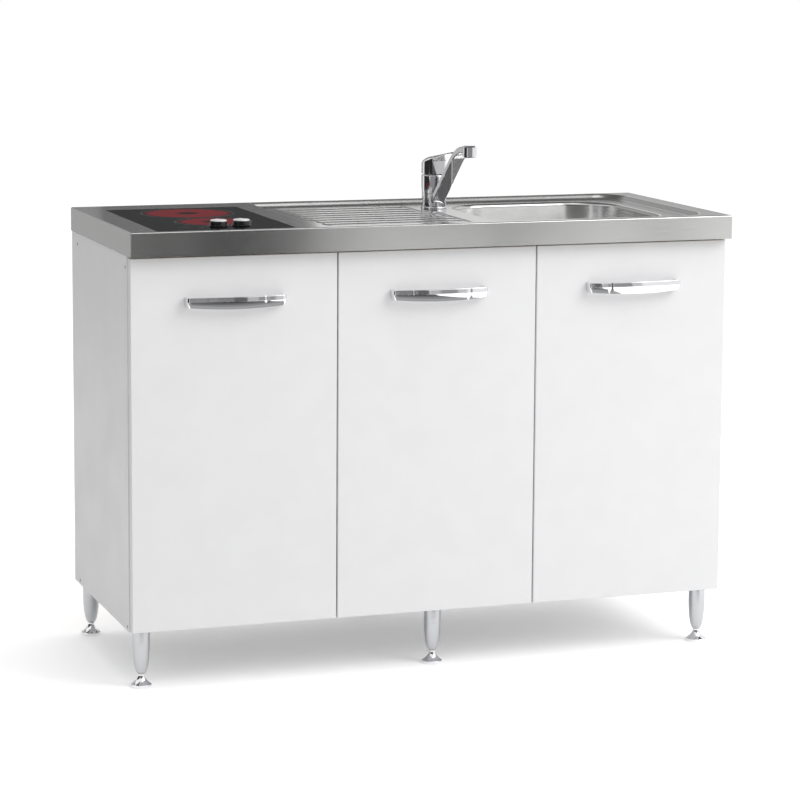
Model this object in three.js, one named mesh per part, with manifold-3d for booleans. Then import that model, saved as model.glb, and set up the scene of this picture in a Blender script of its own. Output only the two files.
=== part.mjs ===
// Kitchenette unit: a 1200 mm three-door base cabinet on six levelling legs, under a pressed
// stainless worktop that holds a two-zone glass hob, a ribbed drainer, one bowl and a mixer tap.
// Millimetres, +Z up, front towards -Y. The origin is on the floor, under the middle of the
// whole unit's plan, handles included.
import * as THREE from 'three';
import { mergeVertices } from 'three/addons/utils/BufferGeometryUtils.js';
import Module from 'manifold-3d';

const wasm = await Module();
wasm.setup();

// ---- driving dimensions -------------------------------------------------------------------
const WIDTH = 1200; // over the worktop
const DEPTH = 500;
const HEIGHT = 860; // floor to worktop rim
const FIT = 0.3; // gap between pieces that are cut or turned to fit each other

// worktop pressing
const SHEET = 1.2;
const FASCIA_HEIGHT = 46;
const FASCIA_BEND = 3;
const FASCIA_RETURN = 8; // hem folded in under the front
const RECESS_DEPTH = 10;
const RECESS_WALL_RUN = 12;
const RECESS_CORNER_RIGHT = 65;
const RECESS_CORNER_LEFT = 14;
const RIM_FRONT = 20;
const RIM_BACK = 10;
const RIM_RIGHT = 36;
const STRIP_BESIDE_HOB = 44;
const PANEL_LAP = 4; // the carcass stands this far up inside the fascia

// stiffening frame of chipboard battens under the pressing
const BATTEN = 20;

// sink bowl
const BOWL_WIDTH = 352;
const BOWL_DEPTH = 150;
const BOWL_CORNER = 92;
const BOWL_LIP = 8;
const BOWL_DRAFT = 12;
const BOWL_FLOOR_FILLET = 42;
const BOWL_SIDE_MARGIN = 44;
const BOWL_BACK_MARGIN = 42;
const BOWL_FRONT_MARGIN = 42;

// drainer: a panel sunk into the deck, with ridges that rise back to it
const DRAINER_LEFT_MARGIN = 35;
const DRAINER_TO_BOWL = 53;
const DRAINER_FRONT_MARGIN = 28;
const DRAINER_BACK_MARGIN = 10; // at least
const DRAINER_SINK = 2.5;
const DRAINER_CORNER = 8;
const RIDGE_PITCH = 40;
const RIDGE_WIDTH = 22;
const RIDGE_TAPER = 10;
const TAP_LAND = 37; // flat left round the tap, from its centre

// tap
const TAP_TO_BOWL = 41;
const TAP_FROM_BACK = 129;
const TAP_RADIUS = 25;
const TAP_BASE_HEIGHT = 6;
const TAP_COLLAR_TOP = 32.5;
const TAP_BODY_TOP = 71;
const TAP_JOURNAL_RADIUS = 18;
const TAP_CARTRIDGE_RADIUS = 14;
const TAP_CAM_RADIUS = 8;
const TAP_CHAMFER = 3;
const LEVER_WALL = 5;
const LEVER_HUB_HEIGHT = 34; // at its axis
const TAP_SHANK_RADIUS = 16;
const TAP_SHANK_LENGTH = 48;
const TAP_HEADING = 2; // degrees from straight ahead, towards the bowl
const SPOUT_REACH = 186;
const SPOUT_RISE = 141;
const SPOUT_THICKNESS = 11.5;
const SPOUT_WIDTH = 27;
const SPOUT_ANGLE = 42; // degrees of climb
const SPOUT_HEAD_RADIUS = 14;
const SPOUT_HEAD_HEIGHT = 21.5;
const AERATOR_RADIUS = 11.5;
const LEVER_LENGTH = 105;
const LEVER_WIDTH = 26;
const LEVER_RISE = 50.5; // blade tip above the hub's foot
const LEVER_TIP_THICKNESS = 3.5;

// hob
const HOB_LEFT_RIM = 51;
const HOB_WIDTH = 265;
const HOB_FRONT_RIM = 10;
const HOB_LENGTH = 410;
const HOB_GLASS = 4;
const HOB_CORNER = 4;
const HOB_BEARING = 12;
const HOB_TRAY_DEPTH = 30;
const REAR_ZONE_RADIUS = 90;
const FRONT_ZONE_RADIUS = 72.5;
const ZONE_GAP = 3.5;
const REAR_ZONE_BACK_MARGIN = 10;
const ZONE_OFFSET = 6.5;
const HEATER_MARGIN = 8; // heater inside its printed zone
const HEATER_HEIGHT = 20;
const KNOB_RADIUS = 18;
const KNOB_HEIGHT = 13;
const KNOB_FRONT_MARGIN = 52;
const KNOB_PITCH = 44;
const SPINDLE_RADIUS = 3;
const REGULATOR_SIZE = 34;
const SPINDLE_DEPTH = 14; // in the regulator

// waste and trap
const WASTE_RADIUS = 45; // hole in the bowl
const WASTE_FLANGE_RADIUS = 57;
const WASTE_NECK = 40;
const WASTE_PIPE_RADIUS = 20;
const WASTE_CONE = 12;
const WASTE_WALL = 2.5;
const WASTE_COLLAR = 8;
const WASTE_PIPE_LENGTH = 52;
const TRAP_RADIUS = 32;
const TRAP_HEIGHT = 95;
const TRAP_CUP_HEIGHT = 30;
const TRAP_NUT_HEIGHT = 26;
const TRAP_NUT_RIM = 7;
const TRAP_OUTLET_RADIUS = 16;
const TRAP_OUTLET_DROP = 26;
const TRAP_OUTLET_NUT = 18;

// carcass of melamine-faced chipboard
const BOARD = 18;
const BACK_BOARD = 4;
const LEG_HEIGHT = 110;
const SIDE_INSET = 1.5; // side panel behind the worktop's side face
const REAR_INSET = 4;
const RAIL_HEIGHT = 80;
const SERVICE_OPENING_WIDTH = 440;
const SERVICE_OPENING_HEIGHT = 300;

// doors
const DOOR_COUNT = 3;
const DOOR_SETBACK = 22; // door front behind the worktop's front face
const DOOR_GAP = 3;
const DOOR_END_INSET = 3.5;
const DOOR_TOP_GAP = 4;
const DOOR_BOTTOM_RISE = 2;
const DOOR_EDGE = 1;

// bow handles
const HANDLE_LENGTH = 193;
const HANDLE_PROJECTION = 28;
const HANDLE_THICKNESS = 7;
const HANDLE_END_HEIGHT = 20;
const HANDLE_MID_HEIGHT = 24;
const HANDLE_BOW = 6;
const HANDLE_END_ROUND = 5;
const HANDLE_GROOVE_FROM_END = 43;
const HANDLE_GROOVE = 1.2;
const HANDLE_DROP = 83; // door top to handle centre

// concealed hinges
const HINGE_END_DISTANCE = 90;
const CUP_RADIUS = 17.2;
const CUP_DEPTH = 11.5;
const CUP_EDGE_DISTANCE = 22.5;
const CUP_FLANGE = 1;
const HINGE_ARM_LENGTH = 68;
const HINGE_ARM_HEIGHT = 14;
const HINGE_ARM_RISE = 17;

// legs and levelling feet
const LEG_TOP_RADIUS = 16.5;
const NECK_RADIUS = 6.3;
const NECK_HEIGHT = 24;
const FOOT_RADIUS = 20;
const FOOT_RIM = 5;
const STEM_RADIUS = 4;
const STEM_LENGTH = 34;
const LEG_END_INSET = 30;
const LEG_FRONT_INSET = 64;
const LEG_BACK_INSET = 20;
const MIDDLE_LEG_OFFSET = 8;

// ---- places worked out from the sizes ------------------------------------------------------
const left = -WIDTH / 2;
const right = WIDTH / 2;
const front = -DEPTH / 2;
const back = DEPTH / 2;
const fasciaBottom = HEIGHT - FASCIA_HEIGHT;
const deck = HEIGHT - RECESS_DEPTH;

const glass = {
  x0: left + HOB_LEFT_RIM,
  x1: left + HOB_LEFT_RIM + HOB_WIDTH,
  y0: front + HOB_FRONT_RIM,
  y1: front + HOB_FRONT_RIM + HOB_LENGTH,
};
const recess = {
  x0: glass.x1 + STRIP_BESIDE_HOB,
  x1: right - RIM_RIGHT,
  y0: front + RIM_FRONT,
  y1: back - RIM_BACK,
};
const bowl = {
  x0: recess.x1 - RECESS_WALL_RUN - BOWL_SIDE_MARGIN - BOWL_WIDTH,
  x1: recess.x1 - RECESS_WALL_RUN - BOWL_SIDE_MARGIN,
  y0: recess.y0 + RECESS_WALL_RUN + BOWL_FRONT_MARGIN,
  y1: recess.y1 - RECESS_WALL_RUN - BOWL_BACK_MARGIN,
};
const bowlFloor = deck - BOWL_DEPTH;
const waste = { x: (bowl.x0 + bowl.x1) / 2, y: (bowl.y0 + bowl.y1) / 2 };
const tap = { x: bowl.x0 - TAP_TO_BOWL, y: back - TAP_FROM_BACK };

const rearZone = {
  x: (glass.x0 + glass.x1) / 2 + ZONE_OFFSET,
  y: glass.y1 - REAR_ZONE_BACK_MARGIN - REAR_ZONE_RADIUS,
};
const frontZone = {
  x: rearZone.x + ZONE_OFFSET,
  y: rearZone.y - REAR_ZONE_RADIUS - ZONE_GAP - FRONT_ZONE_RADIUS,
};
const knobs = [-0.5, 0.5].map((step) => ({
  x: frontZone.x + ZONE_OFFSET + step * KNOB_PITCH,
  y: glass.y0 + KNOB_FRONT_MARGIN,
}));

const doorFront = front + DOOR_SETBACK;
const doorBack = doorFront + BOARD;
const carcassFront = doorBack + CUP_FLANGE + FIT; // the hinge cups' flanges lie between
const carcassBack = back - REAR_INSET;
const panelOuter = right - SIDE_INSET;
const panelInner = panelOuter - BOARD;
const floorTop = LEG_HEIGHT + BOARD;
const doorBottom = LEG_HEIGHT + DOOR_BOTTOM_RISE;
const doorTop = fasciaBottom - DOOR_TOP_GAP;
const doorSpan = WIDTH - 2 * DOOR_END_INSET;
const doorWidth = (doorSpan - (DOOR_COUNT - 1) * DOOR_GAP) / DOOR_COUNT;
const doorLeft = (index) => left + DOOR_END_INSET + index * (doorWidth + DOOR_GAP);
const dividerCentre = doorLeft(1) - DOOR_GAP / 2;
const panelTop = fasciaBottom + PANEL_LAP;
const railBottom = panelTop - RAIL_HEIGHT;
const hingeHeights = { lower: doorBottom + HINGE_END_DISTANCE, upper: doorTop - HINGE_END_DISTANCE };

const legRows = { front: front + LEG_FRONT_INSET, back: back - LEG_BACK_INSET };
const legColumns = { left: left + LEG_END_INSET, middle: MIDDLE_LEG_OFFSET, right: right - LEG_END_INSET };

// The handles reach further forward than the worktop, so the plan's middle lies ahead of it.
const foremost = Math.min(front, doorFront - HANDLE_PROJECTION);
const centreShift = -(foremost + back) / 2;

// ---- solids ----------------------------------------------------------------------------------
function solid(geometry) {
  const bare = geometry.clone();
  bare.deleteAttribute('normal');
  bare.deleteAttribute('uv');
  const merged = mergeVertices(bare, 1e-4);
  const index = merged.index.array;
  const triangles = [];
  for (let i = 0; i < index.length; i += 3) {
    const [a, b, c] = [index[i], index[i + 1], index[i + 2]];
    if (a !== b && b !== c && c !== a) triangles.push(a, b, c);
  }
  const vertProperties = new Float32Array(merged.attributes.position.array);
  return new wasm.Manifold(
    new wasm.Mesh({ numProp: 3, vertProperties, triVerts: new Uint32Array(triangles) }),
  );
}

const joined = (first, ...others) => others.reduce((sum, other) => sum.add(other), first);
const cut = (first, ...others) => others.reduce((rest, other) => rest.subtract(other), first);

function box(x0, x1, y0, y1, z0, z1) {
  const geometry = new THREE.BoxGeometry(x1 - x0, y1 - y0, z1 - z0);
  return solid(geometry.translate((x0 + x1) / 2, (y0 + y1) / 2, (z0 + z1) / 2));
}

// A round piece about a vertical axis; points are [radius, height] pairs, going up the outside.
function turned(points, x = 0, y = 0, z = 0, segments = 32) {
  const profile = points.map(([radius, height]) => new THREE.Vector2(radius, height));
  const geometry = new THREE.LatheGeometry(profile, segments).rotateX(Math.PI / 2);
  return solid(geometry.translate(x, y, z));
}

function disc(radius, z0, z1, x = 0, y = 0, segments = 32) {
  const profile = [[0, z0], [radius, z0], [radius, z1], [0, z1]];
  return turned(profile, x, y, 0, segments);
}

// A flat shape pushed up from z0 to z1.
function prism(shape, z0, z1, curveSegments = 6) {
  const options = { depth: z1 - z0, bevelEnabled: false, curveSegments };
  return solid(new THREE.ExtrudeGeometry(shape, options).translate(0, 0, z0));
}

// A side view in the Y-Z plane, given width along X and centred on x = 0.
function sideProfile(shape, width, bevel = 0, curveSegments = 6) {
  const geometry = new THREE.ExtrudeGeometry(shape, {
    depth: width - 2 * bevel,
    bevelEnabled: bevel > 0,
    bevelSize: bevel,
    bevelThickness: bevel,
    bevelOffset: -bevel,
    bevelSegments: 1,
    curveSegments,
  });
  geometry.translate(0, 0, -width / 2 + bevel);
  // shape x runs forward (-Y), shape y runs up (+Z)
  const forwardUp = new THREE.Matrix4().makeBasis(
    new THREE.Vector3(0, -1, 0),
    new THREE.Vector3(0, 0, 1),
    new THREE.Vector3(-1, 0, 0),
  );
  return solid(geometry.applyMatrix4(forwardUp));
}

// Closed skin through rings of equal length, with a fan over each end ring.
function skinGeometry(rings) {
  const count = rings[0].length;
  const positions = rings.flat().flatMap((point) => [point.x, point.y, point.z]);
  const index = [];
  for (let row = 0; row < rings.length - 1; row += 1) {
    for (let i = 0; i < count; i += 1) {
      const next = (i + 1) % count;
      const [a, b] = [row * count + i, row * count + next];
      const [c, d] = [a + count, b + count];
      index.push(a, b, d, a, d, c);
    }
  }
  const last = (rings.length - 1) * count;
  for (let i = 1; i < count - 1; i += 1) {
    index.push(0, i + 1, i, last, last + i, last + i + 1);
  }
  const geometry = new THREE.BufferGeometry();
  geometry.setAttribute('position', new THREE.Float32BufferAttribute(positions, 3));
  geometry.setIndex(index);
  return geometry;
}
const skin = (rings) => solid(skinGeometry(rings));

const range = (count) => Array.from({ length: count }, (_, i) => i);

// One level of a rounded rectangle, drawn in from its plan by inset, as points at height z.
// The corner radius may differ by corner: right back, left back, left front, right front.
function roundedRing(plan, corner, inset, z, steps = 6) {
  const radii = [corner].flat().map((radius) => Math.max(radius - inset, 0.5));
  const radiusAt = (quarter) => radii[quarter % radii.length];
  const centres = [[1, 1], [-1, 1], [-1, -1], [1, -1]].map(([sx, sy], quarter) => [
    (sx > 0 ? plan.x1 : plan.x0) - sx * (inset + radiusAt(quarter)),
    (sy > 0 ? plan.y1 : plan.y0) - sy * (inset + radiusAt(quarter)),
    quarter,
  ]);
  return centres.flatMap(([x, y, quarter]) => range(steps + 1).map((i) => {
    const angle = (quarter + i / steps) * Math.PI / 2;
    const radius = radiusAt(quarter);
    return new THREE.Vector3(x + radius * Math.cos(angle), y + radius * Math.sin(angle), z);
  }));
}

// A stack of such levels, each [inset, z], from the lowest to the highest.
function stack(plan, corner, levels, steps = 6) {
  return skin(levels.map(([inset, z]) => roundedRing(plan, corner, inset, z, steps)));
}

const grown = (plan, by) => ({
  x0: plan.x0 - by, x1: plan.x1 + by, y0: plan.y0 - by, y1: plan.y1 + by,
});

function piece(name, manifold, material) {
  const { vertProperties, triVerts } = manifold.getMesh();
  const geometry = new THREE.BufferGeometry();
  geometry.setAttribute('position', new THREE.BufferAttribute(vertProperties, 3));
  geometry.setIndex(new THREE.BufferAttribute(triVerts, 1));
  geometry.computeVertexNormals();
  const mesh = new THREE.Mesh(geometry, material);
  mesh.name = name;
  return mesh;
}

const finish = (color, roughness, metalness) => new THREE.MeshStandardMaterial({
  color, roughness, metalness,
});
const melamine = () => finish(0xf3f3f1, 0.5, 0);
const chipboard = () => finish(0xb99b70, 0.85, 0);
const stainless = () => finish(0xb4b4b2, 0.35, 1);
const chrome = () => finish(0xdcdcde, 0.08, 1);
const satinMetal = () => finish(0xc4c6c8, 0.3, 1);
const zinc = () => finish(0x9a9c9e, 0.4, 1);
const blackPlastic = () => finish(0x1b1b1c, 0.45, 0);
const whitePlastic = () => finish(0xe8e8e6, 0.45, 0);

// ---- worktop -----------------------------------------------------------------------------
const RECESS_STEPS = 4;
const recessCorners = [
  RECESS_CORNER_RIGHT, RECESS_CORNER_LEFT, RECESS_CORNER_LEFT, RECESS_CORNER_RIGHT,
];

// The recess as a plug: its wall follows an S-bend from the rim down to the deck.
function recessPlug(offset, drop) {
  const wall = range(RECESS_STEPS + 1).map((step) => {
    const run = 1 - step / RECESS_STEPS;
    const fall = (1 - Math.cos(Math.PI * run)) / 2;
    return [RECESS_WALL_RUN * run - offset, HEIGHT - drop - RECESS_DEPTH * fall];
  });
  return stack(recess, recessCorners, [...wall, [-offset, HEIGHT + 1]]);
}

// The bowl's opening with its rolled lip; the lip is left out below the weld to the bowl.
function bowlOpening(offset, bottom) {
  const steps = 3;
  const lip = range(steps + 1).map((step) => {
    const turn = (step / steps) * Math.PI / 2;
    return [
      -offset - BOWL_LIP * (1 - Math.cos(turn)),
      deck - BOWL_LIP + (BOWL_LIP - offset) * Math.sin(turn),
    ];
  });
  const top = [-offset - BOWL_LIP, deck + 1];
  return stack(bowl, BOWL_CORNER, [[-offset, bottom], ...lip, top]);
}

function bodyBlock(offset, bottom) {
  const steps = 3;
  const bend = range(steps + 1).map((step) => {
    const turn = (step / steps) * Math.PI / 2;
    return [
      offset + (FASCIA_BEND - offset) * (1 - Math.cos(turn)),
      HEIGHT - FASCIA_BEND + (FASCIA_BEND - offset) * Math.sin(turn),
    ];
  });
  const plan = { x0: left, x1: right, y0: front, y1: back };
  return stack(plan, FASCIA_BEND, [[offset, bottom], ...bend], 3);
}

// The sunk panel of the drainer: full length in front of the tap's land, shorter beside it.
const drainer = {
  x0: recess.x0 + RECESS_WALL_RUN + DRAINER_LEFT_MARGIN,
  x1: bowl.x0 - DRAINER_TO_BOWL,
  y0: recess.y0 + RECESS_WALL_RUN + DRAINER_FRONT_MARGIN,
};
const beside = { ...drainer, x1: Math.min(drainer.x1, tap.x - TAP_LAND) };
const drainerLength = recess.y1 - RECESS_WALL_RUN - DRAINER_BACK_MARGIN - drainer.y0;
const ridgeCount = Math.floor(drainerLength / RIDGE_PITCH);
const ridgeRows = range(ridgeCount).map((row) => drainer.y0 + (row + 0.5) * RIDGE_PITCH);
const landFront = tap.y - TAP_LAND - RIDGE_WIDTH / 2;
const longRows = ridgeRows.filter((y) => y < landFront);
drainer.y1 = drainer.y0 + longRows.length * RIDGE_PITCH;
beside.y1 = drainer.y0 + ridgeCount * RIDGE_PITCH;

function drainerPlug(offset, drop) {
  return [drainer, beside].map((plan) => stack(plan, DRAINER_CORNER, [
    [DRAINER_SINK - offset, deck - drop - DRAINER_SINK], [-offset, deck - drop],
    [-offset, deck + 1],
  ], 3));
}

// One pressed ridge: a low round bar that runs out at both ends. It hangs down to its foot.
function ridge(y, thin, foot) {
  const end = (y < landFront ? drainer : beside).x1 - DRAINER_SINK;
  const start = drainer.x0 + DRAINER_SINK;
  const floor = deck - DRAINER_SINK;
  const sections = [
    [start + thin, 0.2], [start + RIDGE_TAPER, 1], [end - RIDGE_TAPER, 1], [end - thin, 0.2],
  ];
  const arc = range(5).map((step) => Math.PI * (step / 4));
  return skin(sections.map(([x, swell]) => {
    const half = (RIDGE_WIDTH / 2 - thin) * Math.sqrt(swell);
    return [
      ...arc.map((angle) => new THREE.Vector3(
        x, y + half * Math.cos(angle), floor - thin + DRAINER_SINK * swell * Math.sin(angle),
      )),
      new THREE.Vector3(x, y - half, foot),
      new THREE.Vector3(x, y + half, foot),
    ];
  }));
}

function worktopSheet() {
  const seat = grown(glass, FIT);
  const seatFloor = HEIGHT - HOB_GLASS;
  const glassOpening = grown(glass, -HOB_BEARING);
  const below = fasciaBottom - 1;
  const outside = cut(
    bodyBlock(0, fasciaBottom),
    recessPlug(0, 0),
    ...drainerPlug(0, 0),
    bowlOpening(0, deck - BOWL_LIP),
    stack(seat, HOB_CORNER, [[0, seatFloor], [0, HEIGHT + 1]], 3),
    box(glassOpening.x0, glassOpening.x1, glassOpening.y0, glassOpening.y1, below, HEIGHT + 1),
    disc(TAP_SHANK_RADIUS + 5 * FIT, below, HEIGHT + 1, tap.x, tap.y, 24),
  );
  const hem = box(left, right, front - 1, front + FASCIA_RETURN, below - 1, fasciaBottom + SHEET);
  const hollow = cut(
    bodyBlock(SHEET, below),
    recessPlug(SHEET, SHEET),
    ...drainerPlug(SHEET, SHEET),
    bowlOpening(SHEET, deck - BOWL_LIP),
    stack(seat, HOB_CORNER, [[-SHEET, seatFloor - SHEET], [-SHEET, HEIGHT + 1]], 3),
    hem,
  );
  const ridges = ridgeRows.map((y) => ridge(y, 0, deck - DRAINER_SINK - SHEET));
  const ridgeHollows = ridgeRows.map((y) => ridge(y, SHEET, deck - DRAINER_SINK - 3 * SHEET));
  const bowlMouth = bowlOpening(0, below);
  const shell = cut(outside, hollow, bowlMouth);
  return piece('worktop_sheet', cut(joined(shell, ...ridges), ...ridgeHollows), stainless());
}

// Battens on edge all round, with one more under the strip beside the hob.
function worktopFrame() {
  const [bottom, top] = [panelTop, deck - SHEET - FIT];
  const plan = grown({ x0: left, x1: right, y0: front, y1: back }, -SHEET - FIT);
  const bay = grown(plan, -BATTEN);
  const crossLeft = glass.x1 + (STRIP_BESIDE_HOB - BATTEN) / 2;
  const frame = cut(
    stack(plan, FASCIA_BEND, [[0, bottom], [0, top]], 2),
    box(bay.x0, crossLeft, bay.y0, bay.y1, bottom - 1, top + 1),
    box(crossLeft + BATTEN, bay.x1, bay.y0, bay.y1, bottom - 1, top + 1),
  );
  return piece('worktop_frame', frame, chipboard());
}

// Deep-drawn bowl: drafted sides, a round floor fillet and a pressed seat for the waste.
function bowlLevels(offset) {
  const steps = 4;
  return range(steps + 1).map((step) => {
    const turn = (step / steps) * Math.PI / 2;
    return [
      BOWL_DRAFT + BOWL_FLOOR_FILLET * (1 - Math.sin(turn)) - offset,
      bowlFloor + BOWL_FLOOR_FILLET * (1 - Math.cos(turn)) - offset * Math.cos(turn),
    ];
  });
}

const wasteSeatDepth = 2.5;

function sinkBowl() {
  const rim = deck - BOWL_LIP;
  const outer = stack(bowl, BOWL_CORNER, [...bowlLevels(SHEET), [-SHEET, rim]]);
  const inner = stack(bowl, BOWL_CORNER, [...bowlLevels(0), [0, rim], [0, rim + 1]]);
  const seatRadius = WASTE_FLANGE_RADIUS + 2 * FIT;
  const seatOuter = disc(
    seatRadius + SHEET, bowlFloor - wasteSeatDepth - SHEET, bowlFloor - SHEET / 2,
    waste.x, waste.y, 28,
  );
  const seatInner = disc(
    seatRadius, bowlFloor - wasteSeatDepth, bowlFloor + 1, waste.x, waste.y, 28,
  );
  const hole = disc(WASTE_RADIUS, bowlFloor - 10, bowlFloor + 1, waste.x, waste.y, 28);
  return piece('sink_bowl', cut(joined(outer, seatOuter), inner, seatInner, hole), stainless());
}

// ---- hob -----------------------------------------------------------------------------------
const glassUnderside = HEIGHT - HOB_GLASS;

function hobGlass() {
  const edge = 0.8;
  const plate = stack(glass, HOB_CORNER, [
    [0, glassUnderside], [0, HEIGHT - edge], [edge, HEIGHT],
  ], 3);
  const holes = knobs.map(({ x, y }) => (
    disc(SPINDLE_RADIUS + 2, glassUnderside - 1, HEIGHT + 1, x, y, 16)
  ));
  return piece('hob_glass', cut(plate, ...holes), finish(0x2b2c2e, 0.12, 0));
}

const tray = grown(glass, -HOB_BEARING - 3);
const trayBottom = glassUnderside - HOB_TRAY_DEPTH;
const heaterBottom = glassUnderside - FIT - HEATER_HEIGHT;

// Pressed steel case under the glass, with two bearers that press each heater to the glass.
function hobTray() {
  const wall = 1;
  const shell = cut(
    stack(tray, HOB_CORNER, [[0, trayBottom], [0, glassUnderside - FIT]], 3),
    stack(tray, HOB_CORNER, [[wall, trayBottom + wall], [wall, glassUnderside]], 3),
  );
  const bearers = [rearZone, frontZone].flatMap(({ y }, zone) => {
    const spread = [REAR_ZONE_RADIUS, FRONT_ZONE_RADIUS][zone] / 2;
    return [-spread, spread].map((dy) => box(
      tray.x0 + wall / 2, tray.x1 - wall / 2, y + dy - 8, y + dy + 8,
      trayBottom + wall / 2, heaterBottom - FIT,
    ));
  });
  const gland = disc(9, trayBottom - 10, trayBottom + wall / 2, tray.x1 - 30, tray.y1 - 30, 16);
  return piece('hob_case', joined(shell, ...bearers, gland), zinc());
}

// Radiant heater: a pan of insulation whose raised rim is pressed up to the glass.
function heater(name, zone, zoneRadius) {
  const radius = zoneRadius - HEATER_MARGIN;
  const [rim, dish, top] = [9, 5, HEATER_HEIGHT];
  const pan = turned([
    [0, 0], [radius - 3, 0], [radius, 3], [radius, top], [radius - rim, top],
    [radius - rim - 2, top - dish], [0, top - dish],
  ], zone.x, zone.y, heaterBottom, 28);
  return piece(name, pan, finish(0xb8432f, 0.8, 0));
}

const regulatorTop = glassUnderside - 6;

function regulator(name, { x, y }) {
  const half = REGULATOR_SIZE / 2;
  const bottom = trayBottom + 1;
  const bodyTop = regulatorTop - 4;
  const housing = joined(
    box(x - half, x + half, y - half, y + half, bottom, bodyTop),
    disc(7, bodyTop - 1, regulatorTop, x, y, 16),
  );
  const terminals = [-1, 0, 1].map((step) => (
    box(x + step * 10 - 3, x + step * 10 + 3, y - half - 7, y - half + 1, bottom + 8, bottom + 9)
  ));
  const bore = disc(
    SPINDLE_RADIUS + FIT, regulatorTop - SPINDLE_DEPTH - FIT, regulatorTop + 1, x, y, 16,
  );
  return piece(name, cut(joined(housing, ...terminals), bore), whitePlastic());
}

// Knob and the spindle it is pressed on, which goes through the glass into the regulator.
function hobKnob(name, { x, y }) {
  const base = HEIGHT + 1;
  const grip = turned([
    [0, 0], [KNOB_RADIUS, 0], [KNOB_RADIUS, 2], [KNOB_RADIUS - 1.5, 3],
    [KNOB_RADIUS - 1.5, KNOB_HEIGHT - 2], [KNOB_RADIUS - 3.5, KNOB_HEIGHT],
    [KNOB_RADIUS - 5, KNOB_HEIGHT - 0.8], [0, KNOB_HEIGHT - 0.8],
  ], x, y, base, 24);
  const spindle = disc(SPINDLE_RADIUS, regulatorTop - SPINDLE_DEPTH, base + 2, x, y, 12);
  return piece(name, joined(grip, spindle), blackPlastic());
}

// ---- tap -----------------------------------------------------------------------------------
const onTap = (manifold) => manifold
  .rotate([0, 0, TAP_HEADING])
  .translate([tap.x, tap.y, deck]);

// Base ring on the deck, around the shank.
function tapBase() {
  const bore = TAP_SHANK_RADIUS + FIT;
  const profile = [
    [bore, 0], [TAP_RADIUS + 1, 0], [TAP_RADIUS + 1, TAP_BASE_HEIGHT - 1],
    [TAP_RADIUS, TAP_BASE_HEIGHT], [bore, TAP_BASE_HEIGHT], [bore, 0],
  ];
  return piece('tap_base', onTap(turned(profile, 0, 0, 0, 28)), chrome());
}

// Body: the threaded shank through the deck, a journal for the swivelling collar, and the
// housing of the cartridge with a chamfered top.
function tapBody() {
  const shoulder = TAP_COLLAR_TOP + FIT;
  const body = turned([
    [0, -SHEET - TAP_SHANK_LENGTH], [TAP_SHANK_RADIUS, -SHEET - TAP_SHANK_LENGTH],
    [TAP_SHANK_RADIUS, TAP_BASE_HEIGHT], [TAP_JOURNAL_RADIUS, TAP_BASE_HEIGHT],
    [TAP_JOURNAL_RADIUS, shoulder], [TAP_RADIUS, shoulder],
    [TAP_RADIUS, TAP_BODY_TOP - TAP_CHAMFER], [TAP_RADIUS - TAP_CHAMFER, TAP_BODY_TOP],
    [0, TAP_BODY_TOP],
  ], 0, 0, 0, 28);
  const housing = disc(TAP_CARTRIDGE_RADIUS + FIT, shoulder + 8, TAP_BODY_TOP + 1, 0, 0, 24);
  const waterway = disc(TAP_SHANK_RADIUS - 5, -SHEET - TAP_SHANK_LENGTH - 1, 0, 0, 0, 16);
  return piece('tap_body', onTap(cut(body, housing, waterway)), chrome());
}

// The swivelling collar and its flat bar, which climbs forward, levels out and ends in a head.
const headBottom = SPOUT_RISE - SPOUT_HEAD_HEIGHT;

function tapSpout() {
  const climb = THREE.MathUtils.degToRad(SPOUT_ANGLE);
  const along = new THREE.Vector2(Math.cos(climb), Math.sin(climb));
  const under = new THREE.Vector2(along.y, -along.x).multiplyScalar(SPOUT_THICKNESS);
  const foot = new THREE.Vector2(TAP_RADIUS - 10, TAP_COLLAR_TOP - 10.5);
  const knee = foot.clone().addScaledVector(along, SPOUT_REACH * 0.76);
  const reachTop = SPOUT_REACH + SPOUT_HEAD_RADIUS * 0.5;
  const bar = new THREE.Shape();
  bar.moveTo(foot.x, foot.y);
  bar.lineTo(knee.x, knee.y);
  bar.quadraticCurveTo(SPOUT_REACH * 0.8, SPOUT_RISE - 2, reachTop, SPOUT_RISE - 1);
  bar.lineTo(reachTop, headBottom + 6);
  bar.lineTo(SPOUT_REACH - SPOUT_HEAD_RADIUS * 0.8, headBottom + 7);
  bar.quadraticCurveTo(
    SPOUT_REACH * 0.82, SPOUT_RISE - SPOUT_THICKNESS - 5, knee.x + under.x, knee.y + under.y,
  );
  bar.lineTo(foot.x + under.x, foot.y + under.y);
  const head = turned([
    [0, headBottom], [SPOUT_HEAD_RADIUS, headBottom], [SPOUT_HEAD_RADIUS, SPOUT_RISE - 3],
    [SPOUT_HEAD_RADIUS - 3, SPOUT_RISE], [0, SPOUT_RISE],
  ], 0, -SPOUT_REACH, 0, 24);
  const collar = disc(TAP_RADIUS, TAP_BASE_HEIGHT + FIT, TAP_COLLAR_TOP, 0, 0, 28);
  const bore = disc(TAP_JOURNAL_RADIUS + FIT, 0, TAP_COLLAR_TOP + 2, 0, 0, 28);
  const over = disc(TAP_RADIUS + 1, TAP_COLLAR_TOP, SPOUT_RISE, 0, 0, 28);
  const outlet = disc(AERATOR_RADIUS + FIT, headBottom - 1, headBottom + 8, 0, -SPOUT_REACH, 24);
  const arm = joined(sideProfile(bar, SPOUT_WIDTH, 1.5, 5), head);
  return piece('tap_spout', onTap(cut(joined(arm, collar), bore, over, outlet)), chrome());
}

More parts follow.
